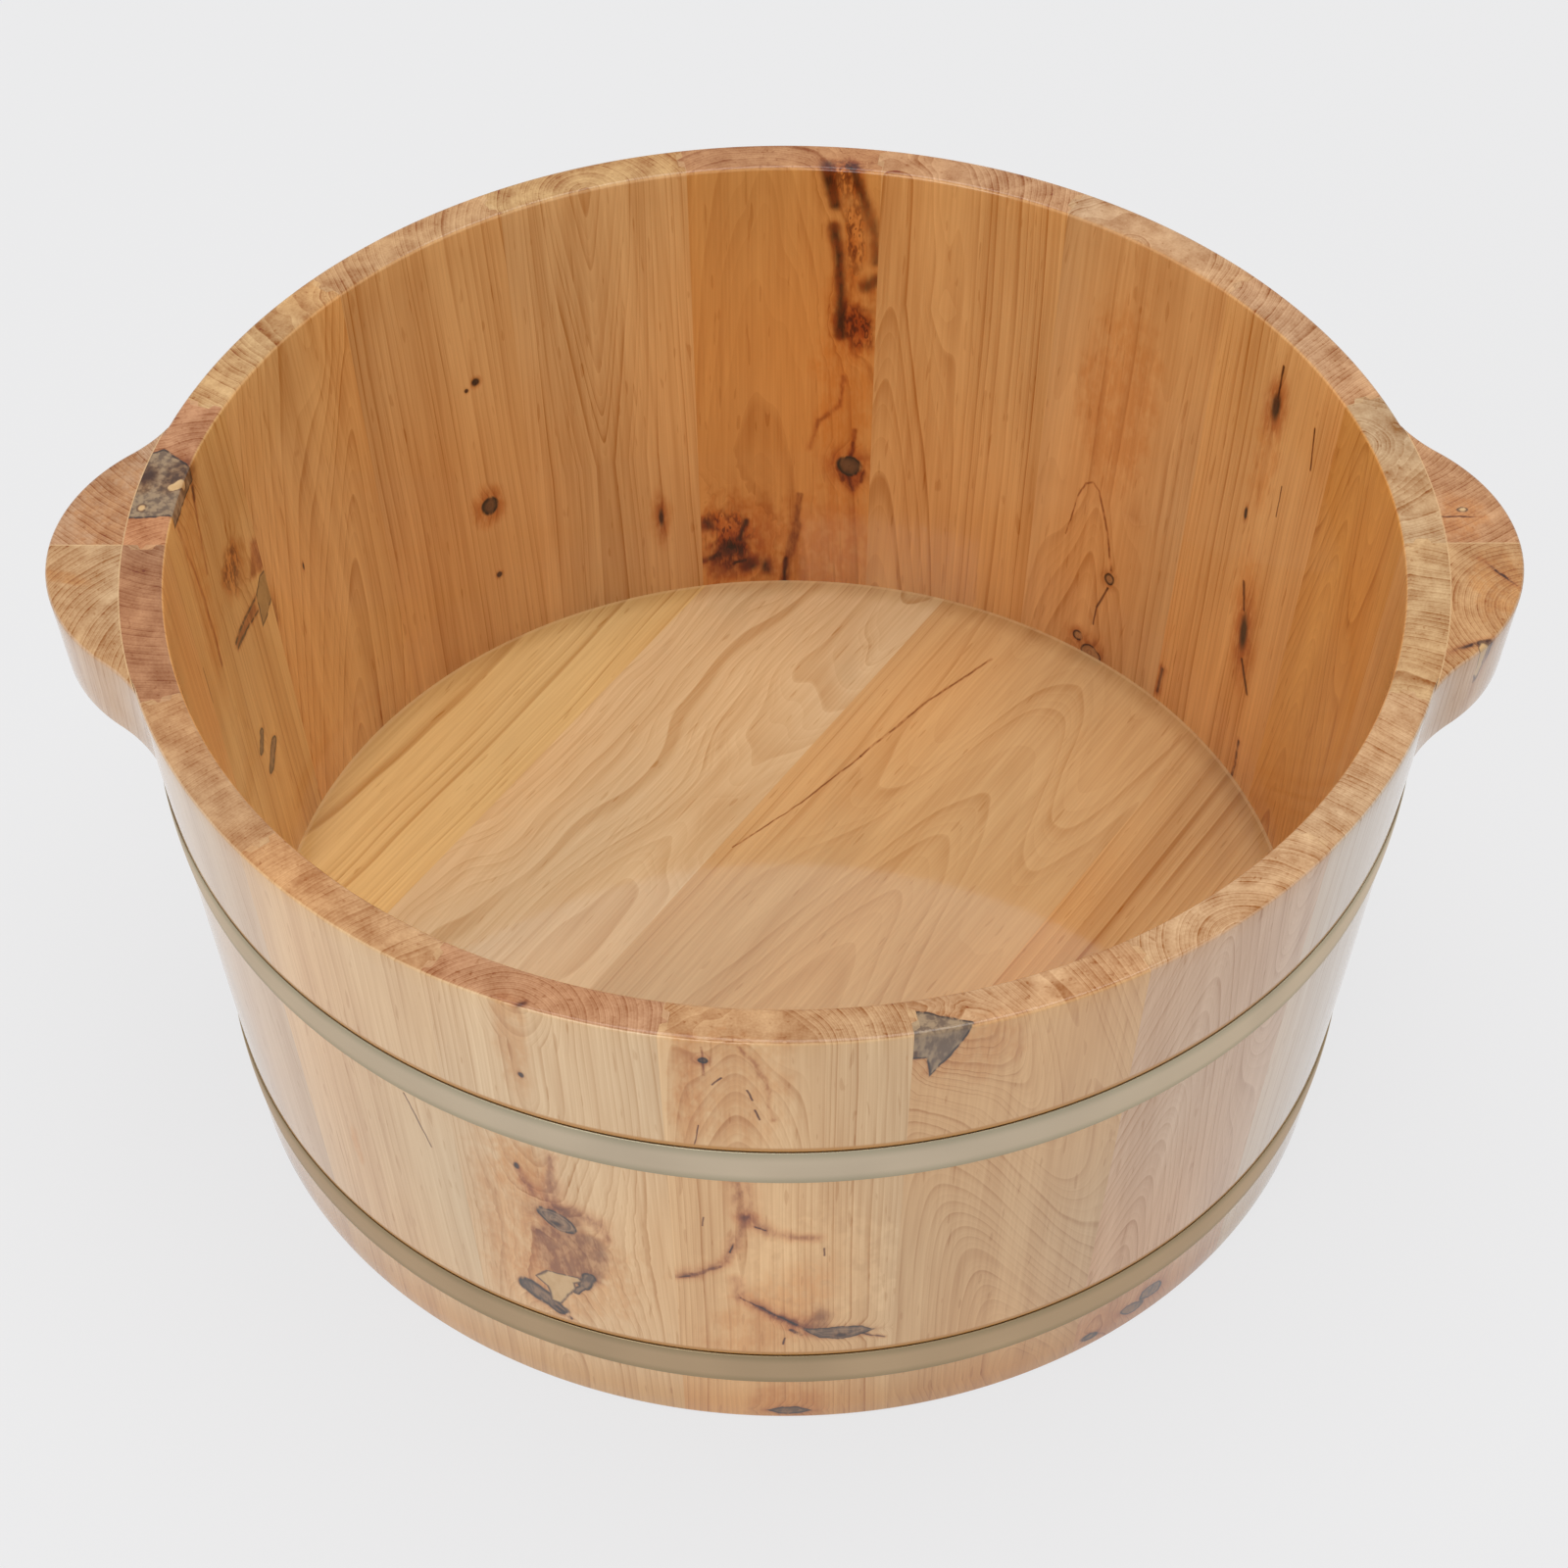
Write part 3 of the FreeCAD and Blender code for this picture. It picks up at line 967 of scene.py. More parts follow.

# %% [markdown]
# ## Glue lines, a darker foot and painted shade
# Where two pieces are glued, a thin pale line of glue shows on the end grain, and lacquer gathers golden
# above the hoops. These lines could be pieces of their own, but they have no thickness. So each piece of
# wood gets them as the last layer of its colour, from the same sizes as its shape. The outside also grows
# darker and more golden towards its foot, and painted shade darkens the floor beside the wall.

# %% Glue lines, a darker foot and painted shade
golden_edge = colour(190, 132, 58)
glue = colour(226, 190, 140)
foot_darkening = (0.91, 0.77, 0.57)          # what the foot keeps of the wood's colour
shaded_corner = (0.82, 0.75, 0.66)
seam_glue, board_glue, ear_glue = 0.25, 0.28, 0.55


def dress_stave(place, wood_colour):
    """Glue shows as a pale line in the seams of the rim, and lacquer gathers golden above the hoops."""
    across, depth, height = place.part(0), place.part(1), place.part(2)
    tongue = depth.rise(tongue_at[0], tongue_at[1]) * depth.rise(tongue_at[3], tongue_at[2]) * tongue_height
    half_width = (outer_radius(height) - depth) * math.tan(half_stave)
    from_seam = half_width - abs(across - tongue)
    seam = from_seam.rise(0.25, 0.1) * height.rise(tub_height - 0.6, tub_height - 0.2)
    wood_colour = (seam * seam_glue).blend(wood_colour, glue)
    outer_half = depth.rise(wall / 2, wall / 2 - 1)
    # the outside grows darker and more golden towards its foot
    foot = height.rise(30.0, 6.0) * outer_half
    wood_colour = foot.blend(wood_colour, wood_colour * foot_darkening)
    for _, groove_high in hoop_grooves:
        lower_end = height.rise(groove_high - 0.6, groove_high - 0.3)
        upper_end = height.rise(groove_high + 2.2, groove_high + 0.9)
        wood_colour = (lower_end * upper_end * outer_half).blend(wood_colour, golden_edge)
    return wood_colour


def dress_board(place, wood_colour):
    """A thin bead of glue closes the joint with the wall, and painted shade darkens the floor beside it."""
    across, along = place.part(0), place.part(2)
    radius = (across * across + along * along) ** 0.5
    edge = inner_radius(floor_top)
    bead = radius.rise(edge - 1.3, edge - 0.9)
    # painted shade: the floor darkens towards the wall
    shade = radius.rise(edge - 10.0, edge - 1.0)
    wood_colour = shade.blend(wood_colour, wood_colour * shaded_corner)
    return (bead * board_glue).blend(wood_colour, glue)


def dress_ear(place, wood_colour):
    """Pale glue lines between the ear and the wall, and between its two blocks."""
    sideways, outward, height = place.part(0), place.part(1), place.part(2)
    radius = (sideways * sideways + outward * outward) ** 0.5
    joint = radius.rise(rim_radius + 0.5, rim_radius + 0.2)
    middle = abs(sideways).rise(0.3, 0.1)
    lines = joint.greater(middle) * height.rise(tub_height - 0.5, tub_height - 0.2)
    return (lines * ear_glue).blend(wood_colour, glue)


print("the bead is at a radius of", round(inner_radius(floor_top), 1), "mm")

# %% [markdown]
# ## Steel
# The hoops are satin strip with a warm tint. Brushing leaves fine streaks along the strip, which blur
# reflections a little more in one place than in the next, so the streaks go into the roughness. The strip's
# colour is darker towards its edges: painted shade for its slightly rounded section.

# %% Steel
brushed_blots = (0.02, 0.02, 3.0)       # long round the hoop and fine from edge to edge
painted_edge_shade = (0.72, 0.76, 0.72)


def steel(name, middle, tone):
    """Satin strip whose middle is at a given height, with a tone as a screen shows it."""
    made, start = new_material("steel_" + name)
    point = millimetres(start)
    brushed = point.noise(brushed_blots, 3.0, 0.6)
    blotched = point.noise(0.03, 1.0)
    bright = colour(*tone)[:3] * (blotched * 0.3 + 0.85)
    # painted shade: the strip's colour darkens towards its edges, where its rounded section turns from the
    # light
    from_middle = abs(point.part(2) - middle)
    shader = start.node("ShaderNodeBsdfPrincipled", {}, {
        "Base Color": from_middle.rise(3.0, 7.5).blend(bright, bright * painted_edge_shade),
        "Metallic": 1.0,
        "Specular Tint": colour(247, 236, 222),
        "Roughness": brushed * 0.12 + 0.3,
    })
    start.node("ShaderNodeOutputMaterial", {}, {"Surface": shader})
    return made


print("brushing lines to a millimetre:", brushed_blots[2])

# %% [markdown]
# ## Looks of the staves
# No two staves of the tub are alike, and that is what a single wood texture could never give. So each stave
# has a look of its own: its tones outside, inside and on the rim, where the heart of its tree lies, and its
# marks. A place on a stave is read as on the bench: millimetres across from its middle and up from its The
# front stave has the most to tell: it has the cracks, the scars and the small lens of bark that a branch
# leaves in a board.

# %% The front stave
def tones(outside_tone, inside_tone, end_tone):
    return {"outside": colour(*outside_tone), "inside": colour(*inside_tone), "end": colour(*end_tone)}


stave_looks = {}
stave_looks[1] = {
    **tones((217, 173, 122), (206, 154, 100), (186, 139, 93)),
    "heart": (-13.0, -8.0), "cone": 0.20, "cone_from": 132.0, "cone_reach": (8.0, 27.0), "ring": 1.9,
    "marks": (
        outside("umber", -27.5, 176.0, 3.4, 34.0),
        outside("umber", -15.0, 180.0, 13.0, 24.0),
        outside("umber", -4.0, 60.0, 26.0, 10.0, -60),
        vein("grain", 0.0, (-3.5, 163.0, 0.5), (-4.6, 178.0, 0.7), (-8.0, 190.0, 0.7),
             (-13.0, 198.0, 0.5)),
        outside("pale", 10.0, 86.0, 22.0, 24.0),
        outside("knot", -22.4, 190.8, 1.3, 1.2),
        vein("trace", 0.0, (-22.8, 197.0, 0.3), (-22.2, 184.0, 0.3)),
        vein("line", 0.0, (-19.9, 179.5, 0.3), (-17.5, 183.1, 0.3)),
        vein("line", 0.0, (-10.6, 177.6, 0.25), (-9.0, 172.9, 0.3)),
        vein("line", 0.0, (-8.3, 168.2, 0.25), (-7.2, 163.4, 0.3)),
        vein("line", 0.0, (-24.3, 159.1, 0.25), (-25.6, 147.6, 0.2)),
        vein("scar", 0.0, (-34.0, 78.5, 2.0), (-27.0, 80.8, 1.6), (-18.0, 88.0, 1.0)),
        vein("smoke", 0.0, (-35.0, 77.2, 1.5), (-27.0, 80.0, 1.1)),
        vein("smoke", 0.0, (-27.0, 80.3, 0.8), (-19.0, 86.4, 0.5)),
        vein("crack", 0.0, (-34.0, 76.8, 0.6), (-28.0, 79.2, 0.4)),
        vein("scar", 0.0, (-17.2, 89.6, 1.2), (-15.0, 97.0, 1.4), (-11.1, 113.2, 1.6)),
        vein("scar", 0.0, (-11.5, 114.5, 1.8), (-13.5, 132.0, 2.6)),
        vein("scar", 0.0, (-11.1, 113.2, 1.8), (-5.0, 106.0, 1.9), (1.6, 103.3, 1.4), (9.0, 102.5, 1.0)),
        vein("crack", 0.0, (-15.8, 94.0, 0.3), (-14.8, 99.0, 0.3)),
        vein("crack", 0.0, (-8.5, 108.5, 0.3), (-6.0, 107.0, 0.3)),
        vein("scar", 0.0, (-14.5, 80.0, 1.0), (-13.1, 69.5, 1.4), (-4.9, 62.0, 1.8), (3.9, 54.3, 2.0)),
        vein("smoke", 0.0, (-8.0, 64.6, 0.7), (-3.0, 60.0, 1.1), (5.0, 54.0, 1.4)),
        vein("crack", 0.0, (-13.1, 69.5, 0.2), (-4.9, 62.0, 0.4), (3.9, 54.3, 0.5), (9.0, 50.5, 0.4)),
        outside("smoke", 9.5, 56.0, 3.4, 7.0, 14),
        plate("lens", 0.0, (5.0, 52.6), (10.0, 47.4), (17.0, 45.9), (21.5, 47.4), (26.0, 49.6),
              (22.5, 51.9), (14.0, 52.4), size=2.8),
        outside("eye", 16.5, 47.9, 1.8, 1.0),
        vein("crack", 0.0, (1.6, 52.0, 0.7), (4.2, 49.6, 0.9)),
        vein("crack", 0.0, (22.5, 47.8, 0.6), (29.5, 44.5, 0.3)),
        vein("line", 0.0, (-0.4, 47.5, 0.3), (-0.8, 44.0, 0.3)),
        vein("line", 0.0, (-23.6, 112.0, 0.25), (-23.9, 107.5, 0.25)),
        vein("line", 0.0, (11.1, 97.0, 0.25), (11.2, 93.0, 0.25)),
        outside("umber", 1.0, 8.0, 9.0, 10.0),
        plate("lens", 0.0, (-5.4, 4.6), (-2.0, 2.7), (3.4, 2.9), (7.0, 4.5), (3.2, 6.8), (-1.0, 6.6),
              size=2.2),
    ),
}
print("marks in the front stave:", len(stave_looks[1]["marks"]))

# %% [markdown]
# ## The patched stave
# Left of the front stave is one with a knot hole that its maker closed with a patch of pale filler. Filler
# has a straight cut edge and no grain. A painted patch would end in a soft blur, so the patch is made of
# plates with flat sides, over bark and smoke that darken the wood round it.

# %% The patched stave
stave_looks[18] = {
    **tones((219, 181, 135), (214, 158, 96), (178, 126, 86)),
    "heart": (-5.5, -8.5), "cone": -0.30, "cone_from": 183.0, "cone_reach": (9.0, 22.0), "ring": 2.3,
    "contrast": 0.7,
    "marks": (
        outside("swirl", -2.0, 84.0, 11.0, 24.0),
        outside("umber", -8.0, 184.0, 4.0, 22.0),
        outside("umber", -15.0, 84.0, 12.0, 44.0),
        outside("umber", 1.0, 68.0, 16.0, 22.0),
        outside("amber", -12.0, 116.0, 7.0, 12.0),
        outside("eye", -13.0, 117.7, 1.0, 1.6),
        vein("scar", 0.0, (-12.4, 115.0, 1.2), (-9.0, 106.0, 1.4)),
        vein("scar", 0.0, (-1.4, 129.0, 0.9), (-2.4, 115.0, 1.6), (-4.0, 102.0, 2.6)),
        vein("scar", 0.0, (-2.0, 102.0, 1.8), (5.0, 102.4, 2.4), (10.4, 99.0, 1.8), (12.8, 92.0, 0.9)),
        plate("smoke", 0.0, (-11.0, 86.0), (-9.0, 66.0), (2.0, 62.0), (9.0, 66.0), (13.0, 80.0),
              (11.0, 90.0), (-3.0, 92.0), size=4.0),
        outside("smoke", -1.0, 98.0, 5.0, 5.0, 40),
        outside("lens", -2.4, 94.6, 6.6, 4.2, 40),
        outside("char", -2.8, 92.6, 1.6, 1.1),
        vein("bark", 0.0, (-15.4, 52.0, 3.4), (-9.5, 48.0, 3.0), (-5.5, 44.0, 1.4)),
        vein("bark", 0.0, (0.4, 57.0, 0.9), (3.6, 62.0, 1.2), (5.6, 67.5, 2.6)),
        joined(plate("filler", 0.0, (-12.1, 59.0), (-8.0, 55.0), (3.0, 64.0), (2.0, 66.0), (-8.6, 64.4),
                     size=2.5),
               plate("filler", 0.0, (-9.0, 60.0), (-8.0, 48.0), (-5.0, 47.6), (0.6, 59.0), (0.0, 63.0),
                     size=2.5)),
        vein("crack", 0.0, (-6.5, 45.0, 0.9), (-2.6, 40.5, 0.5)),
        mark("char", (-4.0, 1.4, 200.0), (1.6, 0.8, 3.0), 0, 30),
        outside("eye", -6.6, 166.8, 0.9, 1.3),
    ),
}
print("marks in the patched stave:", len(stave_looks[18]["marks"]))

# %% [markdown]
# ## Other staves outside
# The stave right of the front one carries a grey pocket at its rim, cut off slanting, and the next one has
# dark bark at its foot. Towards the sides the staves are calm, so the tones and the heart lines are enough
# for them.

# %% Other staves outside
stave_looks[2] = {
    **tones((208, 164, 114), (206, 154, 100), (186, 142, 100)),
    "heart": (14.0, -7.0), "lean": -0.30, "cone": 0.26, "cone_from": 10.0, "ring": 2.6, "contrast": 0.6,
    "marks": (
        outside("umber", -20.0, 190.0, 14.0, 12.0),
        outside("swirl", -26.0, 188.0, 9.0, 12.0),
        joined(plate("ash", 0.0, (-37.0, 206.0), (-37.0, 189.3), (-30.4, 188.6), (-24.0, 188.6),
                     (-15.5, 206.0), back=((-32.9, 12.0), (-17.8, 2.0))),
               plate("ash", 0.0, (-31.5, 196.0), (-29.4, 180.0), (-25.7, 185.0), (-20.0, 197.0),
                     back=((-32.9, 12.0), (-17.8, 2.0)))),
        vein("char", 0.0, (-34.0, 192.0, 0.8), (-33.6, 189.0, 0.8)),
    ),
}
stave_looks[3] = {
    **tones((208, 166, 128), (206, 154, 100), (192, 148, 104)),
    "heart": (-27.0, -6.0), "lean": 0.1, "cone": 0.2, "ring": 2.2,
    "marks": (
        outside("umber", -12.0, 10.0, 26.0, 12.0, 14),
        joined(outside("bark", -9.0, 9.0, 5.0, 2.6, 20), outside("bark", -2.0, 12.5, 4.5, 3.4, 10)),
        outside("lens", -25.5, 6.0, 3.4, 1.8, 10),
    ),
}
stave_looks[4] = {
    **tones((211, 184, 156), (210, 156, 98), (192, 148, 104)),
    "heart": (-80.0, 20.0), "cone": -0.1,
}
stave_looks[5] = {
    **tones((211, 184, 156), (214, 158, 96), (188, 146, 98)),
    "heart": (-70.0, 10.0), "cone": 0.08,
}
stave_looks[16] = {
    **tones((213, 174, 132), (214, 158, 96), (180, 134, 90)),
    "heart": (70.0, 20.0), "cone": -0.12, "ring": 2.4, "contrast": 0.45,
}
stave_looks[17] = {
    **tones((218, 178, 130), (214, 158, 96), (186, 138, 92)),
    "heart": (80.0, -10.0), "cone": 0.1, "ring": 3.0, "contrast": 0.5,
    "marks": (
        vein("line", 0.0, (17.3, 130.5, 0.25), (23.2, 107.9, 0.3)),
        outside("amber", -11.6, 80.0, 1.6, 8.0),
    ),
}
print("staves with a look so far:", len(stave_looks))

# %% [markdown]
# ## Staves inside, on the right
# On the inside of the back wall the wood glows orange, because light goes from stave to stave in there. The
# render does that by itself, so the tones here are those of the bare wood. Arches and small red eyes are
# all that these staves have.

# %% Staves inside, on the right
stave_looks[6] = {
    **tones((214, 180, 140), (212, 149, 76), (184, 146, 104)),
    "streaks": 1.9, "heart": (14.0, 19.0), "cone": 0.15, "cone_reach": (12.0, 40.0), "ring": 2.4,
}
stave_looks[7] = {
    **tones((214, 180, 140), (220, 161, 96), (186, 138, 96)),
    "streaks": 1.9, "heart": (50.0, 26.0), "cone": 0.05, "ring": 2.2,
    "marks": (
        inside("umber", 1.5, 158.0, 5.0, 20.0),
        inside("umber", -6.0, 90.0, 6.0, 24.0, 10),
        vein("line", wall, (2.2, 190.0, 0.3), (2.0, 178.0, 0.6)),
        inside("ember", 1.9, 174.4, 2.2, 5.0),
        inside("eye", 5.2, 128.6, 0.9, 2.4),
        inside("ember", -6.3, 86.0, 2.0, 6.6, 8),
        vein("line", wall, (-1.0, 104.0, 0.4), (-4.0, 94.0, 0.8)),
        vein("line", wall, (-8.5, 76.0, 0.9), (-15.0, 66.0, 0.4)),
        vein("ember", wall, (27.5, 44.0, 1.0), (27.8, 34.0, 0.7)),
        vein("crack", wall, (-16.6, 46.0, 0.6), (-17.1, 28.6, 0.8)),
        vein("line", wall, (-19.3, 180.8, 0.4), (-21.5, 166.4, 0.4)),
        vein("line", wall, (-9.0, 150.0, 0.25), (-9.8, 138.0, 0.25)),
    ),
}
stave_looks[8] = {
    **tones((214, 180, 140), (207, 154, 97), (188, 144, 102)),
    "streaks": 1.9, "heart": (6.0, 17.5), "cone": 0.17, "cone_span": 96.0, "cone_reach": (6.0, 30.0),
    "ring": 3.2,
    "marks": (
        inside("umber", 4.0, 138.0, 12.0, 30.0),
        vein("trace", wall, (17.1, 75.7, 0.2), (14.2, 93.0, 0.25), (12.0, 99.4, 0.3), (9.4, 101.4, 0.3),
             (6.6, 99.0, 0.3), (3.6, 92.0, 0.35), (0.7, 83.9, 0.4), (-2.9, 70.0, 0.4)),
        vein("line", wall, (-2.9, 62.0, 0.5), (0.5, 52.0, 0.3), (1.0, 44.0, 0.3)),
        inside("ring", -2.9, 65.9, 1.7, 2.1),
        inside("umber", 3.0, 34.0, 7.0, 6.0),
        inside("ring", 6.3, 36.2, 1.8, 1.9),
        joined(inside("ring", 0.8, 31.5, 3.4, 3.0), inside("ring", -2.0, 30.5, 2.4, 2.6)),
    ),
}
stave_looks[9] = {
    **tones((214, 180, 140), (211, 157, 96), (182, 134, 92)),
    "streaks": 1.9, "heart": (25.0, 22.0), "cone": 0.10, "cone_span": 150.0, "cone_reach": (8.0, 32.0),
    "ring": 2.8, "contrast": 0.85,
}
print("staves with a look so far:", len(stave_looks))

# %% [markdown]
# ## The burl stave
# One stave at the back was cut through a burl: the grain curls, tar-dark veins run down from the rim, and
# there is a knot in the middle. A burl could be sculpted, but it is planed flat here, so it is all colour.
# Tangles curl the grain, char darkens it in veins, and the tints multiply the colour of the wood, so the
# grain still shows through them.

# %% The burl stave
stave_looks[10] = {
    **tones((214, 180, 140), (205, 143, 76), (178, 122, 76)),
    "heart": (6.0, 50.0), "cone": 0.05, "ring": 2.6, "contrast": 0.5,
    "marks": (
        inside("umber", 6.0, 40.0, 32.0, 22.0),
        inside("umber", 18.0, 48.0, 14.0, 16.0),
        inside("amber", -22.0, 110.0, 8.0, 50.0),
        inside("tangle", -20.6, 198.0, 4.2, 8.0),
        inside("tangle", -24.0, 174.0, 3.0, 14.0),
        vein("char", wall, (-13.0, 206.0, 2.2), (-17.4, 186.0, 1.6)),
        vein("char", wall, (-16.8, 178.0, 1.6), (-19.0, 162.0, 1.5), (-19.6, 148.0, 1.5),
             (-19.2, 135.0, 2.2)),
        vein("char", wall, (-22.6, 201.0, 1.3), (-28.0, 186.2, 2.0), (-31.0, 176.0, 2.2),
             (-31.2, 165.0, 1.3)),
        vein("char", wall, (-27.5, 155.0, 1.4), (-31.0, 158.0, 3.0)),
        inside("rust", -25.0, 140.0, 6.0, 9.0),
        inside("tangle", -26.0, 139.0, 6.0, 8.0),
        vein("scar", wall, (-20.9, 118.0, 0.5), (-19.0, 106.0, 0.7), (-12.0, 99.5, 0.6),
             (-9.0, 87.5, 0.5)),
        vein("rust", wall, (-24.8, 96.0, 0.5), (-23.6, 86.0, 1.4)),
        vein("smoke", wall, (-24.2, 91.0, 0.4), (-23.6, 85.0, 0.8)),
        plate("rust", wall, (-28.4, 79.0), (-24.0, 70.0), (-18.4, 79.0), size=2.0),
        joined(vein("smoke", wall, (-18.6, 80.0, 1.0), (-20.6, 75.0, 0.7)),
               vein("smoke", wall, (-22.4, 77.0, 0.6), (-23.9, 71.0, 0.7)),
               vein("smoke", wall, (-28.2, 80.0, 0.7), (-27.0, 75.0, 0.5))),
        inside("knot", -23.0, 81.2, 4.3, 4.0),
        inside("tangle", 21.0, 50.0, 9.0, 12.0, 12),
        inside("smoke", 21.0, 42.0, 9.0, 8.0),
        joined(inside("char", 20.0, 46.0, 4.6, 3.0, 30),
               vein("char", wall, (24.0, 43.4, 1.2), (30.0, 41.4, 1.0))),
        vein("char", wall, (16.0, 50.0, 1.2), (13.4, 57.0, 0.5)),
        inside("char", 27.6, 56.8, 2.2, 2.8, 20),
        joined(inside("char", 12.0, 38.0, 3.4, 2.2, 40),
               vein("char", wall, (14.0, 40.0, 0.8), (18.0, 39.0, 0.5))),
        inside("char", 6.3, 36.8, 1.6, 2.8),
        vein("smoke", wall, (-5.5, 68.0, 0.7), (-4.6, 55.0, 1.3), (-1.5, 42.0, 1.9), (0.0, 31.0, 1.6)),
        vein("char", wall, (-0.6, 40.0, 0.7), (0.2, 30.0, 0.8)),
    ),
}
print("marks in the burl stave:", len(stave_looks[10]["marks"]))

# %% [markdown]
# ## Staves inside, on the left
# Left of the burl lie calm staves again, with one round knot and its small companions.

# %% Staves inside, on the left
stave_looks[11] = {
    **tones((214, 180, 140), (213, 162, 103), (188, 142, 88)),
    "streaks": 1.9, "heart": (2.5, 14.5), "cone": -0.13, "cone_from": 90.0, "cone_reach": (12.0, 26.0),
    "ring": 3.4,
    "marks": (
        inside("umber", -15.9, 62.0, 3.0, 10.0),
        inside("ember", -15.9, 62.7, 0.9, 3.6),
    ),
}
stave_looks[12] = {
    **tones((214, 180, 140), (213, 158, 96), (186, 138, 90)),
    "streaks": 1.9, "heart": (-50.0, 30.0), "ring": 2.8,
    "marks": (
        inside("amber", -13.4, 89.6, 5.0, 7.0),
        inside("knot", -13.4, 89.6, 2.9, 3.2),
        inside("eye", -14.8, 140.6, 1.5, 1.5),
        inside("eye", -11.0, 138.7, 0.8, 0.8),
        inside("eye", -13.3, 60.0, 1.1, 1.1),
    ),
}
stave_looks[13] = {
    **tones((214, 180, 140), (218, 164, 99), (190, 144, 92)),
    "streaks": 1.9, "heart": (8.0, 18.5), "lean": -0.22, "cone": 0.13, "cone_span": 180.0,
    "cone_reach": (7.0, 42.0), "ring": 3.0, "contrast": 0.9,
    "marks": (
        inside("smoke", 30.5, 116.0, 1.6, 7.0),
        inside("eye", 10.0, 118.0, 0.4, 1.6),
    ),
}
stave_looks[15] = {
    **tones((214, 180, 140), (226, 167, 100), (161, 109, 71)),
    "streaks": 1.9, "heart": (-60.0, 30.0), "ring": 2.4,
}
print("staves with a look so far:", len(stave_looks))

# %% [markdown]
# ## The stave by the left ear
# This stave has a grey pocket in its end grain, filled in two places, and below it on the inside a short
# strip of resin between two cracks. The pocket has straight sides as seen from above, so it is a plate on
# the end grain.

# %% The stave by the left ear
stave_looks[14] = {
    **tones((214, 180, 140), (217, 166, 99), (178, 121, 80)),
    "streaks": 1.9, "heart": (50.0, 30.0), "ring": 2.8,
    "marks": (
        inside("umber", 11.0, 168.0, 6.0, 34.0, -8),
        vein("scar", wall, (18.4, 202.0, 0.7), (16.3, 188.0, 0.6), (12.9, 167.0, 0.6), (11.7, 146.0, 0.7),
             (12.6, 132.0, 0.5)),
        vein("scar", wall, (-1.1, 195.0, 0.4), (1.2, 179.6, 0.6), (4.1, 163.5, 0.5)),
        vein("char", wall, (-1.6, 193.0, 1.0), (-1.0, 189.0, 0.5)),
        inside("umber", -15.0, 148.0, 9.0, 8.0),
        inside("tangle", -13.0, 150.0, 6.0, 7.0),
        plate("rust", wall, (-33.0, 146.0), (-33.0, 133.0), (-22.5, 137.0), (-28.0, 148.0), size=2.5),
        joined(vein("crack", wall, (-22.5, 129.0, 0.7), (-12.3, 129.0, 0.8), (-2.1, 127.6, 0.7)),
               vein("crack", wall, (-21.5, 124.0, 0.4), (-12.0, 124.6, 0.7), (-3.3, 124.6, 0.6))),
        vein("rust", wall, (-20.0, 126.6, 1.6), (-4.0, 126.4, 2.0)),
        plate("resin", wall, (-33.0, 133.0), (-33.0, 123.0), (-26.0, 118.0), (-22.3, 117.0),
              (-23.6, 129.5), (-28.0, 133.5), size=2.5),
        vein("line", wall, (30.6, 147.5, 0.4), (30.5, 133.0, 0.4)),
        vein("bark", wall, (-3.0, 87.2, 1.7), (0.3, 82.8, 1.7)),
        vein("bark", wall, (-9.4, 76.6, 2.3), (-3.4, 71.2, 2.0)),
        end_plate("ash", 195.0, (-6.2, -1.0), (23.2, -1.0), (19.4, 14.5), (-1.8, 14.5), (-4.9, 11.2),
                  (-10.3, 3.4)),
        mark("smoke", (0.0, 11.0, 198.0), (8.0, 3.0, 8.0), 0, -20),
        mark("char", (3.0, 1.2, 200.0), (4.0, 2.6, 6.0)),
        mark("filler", (5.0, 11.6, 200.0), (3.8, 1.6, 4.0), 0, -30),
        mark("filler", (17.4, 3.8, 200.0), (1.8, 1.3, 4.0)),
        mark("amber", (8.0, 1.0, 200.0), (3.0, 2.0, 5.0)),
    ),
}
print("marks in the staves:", sum(len(look.get("marks", ())) for look in stave_looks.values()))

# %% [markdown]
# ## Make the staves
# Each stave is one mesh with its own material, set in the place of the frame's node with the same number.
# One mesh turned eighteen times would be lighter, but the seams have a tongue on one side only, the ears
# cover some edges of the rim, and no stave may repeat its neighbour's wood.

# %% Make the staves
for number, look in sorted(stave_looks.items()):
    node = f"stave_{number:02d}"
    material = wood("wood_" + node, stave_place(number), number, dress=dress_stave, **look)
    show("wood_" + node, grid_mesh(node, stave_points(number)), material, node)
print("staves made:", len(stave_looks))

# %% [markdown]
# ## Make the floor boards
# The first board is yellow and straight-grained. The second has figure: its rings sway so far that they
# fold over. The third is cut through the middle of its tree and shows wide arches, and the last is straight
# again. The floor shines more than the wall, so its lacquer has a higher index of refraction.

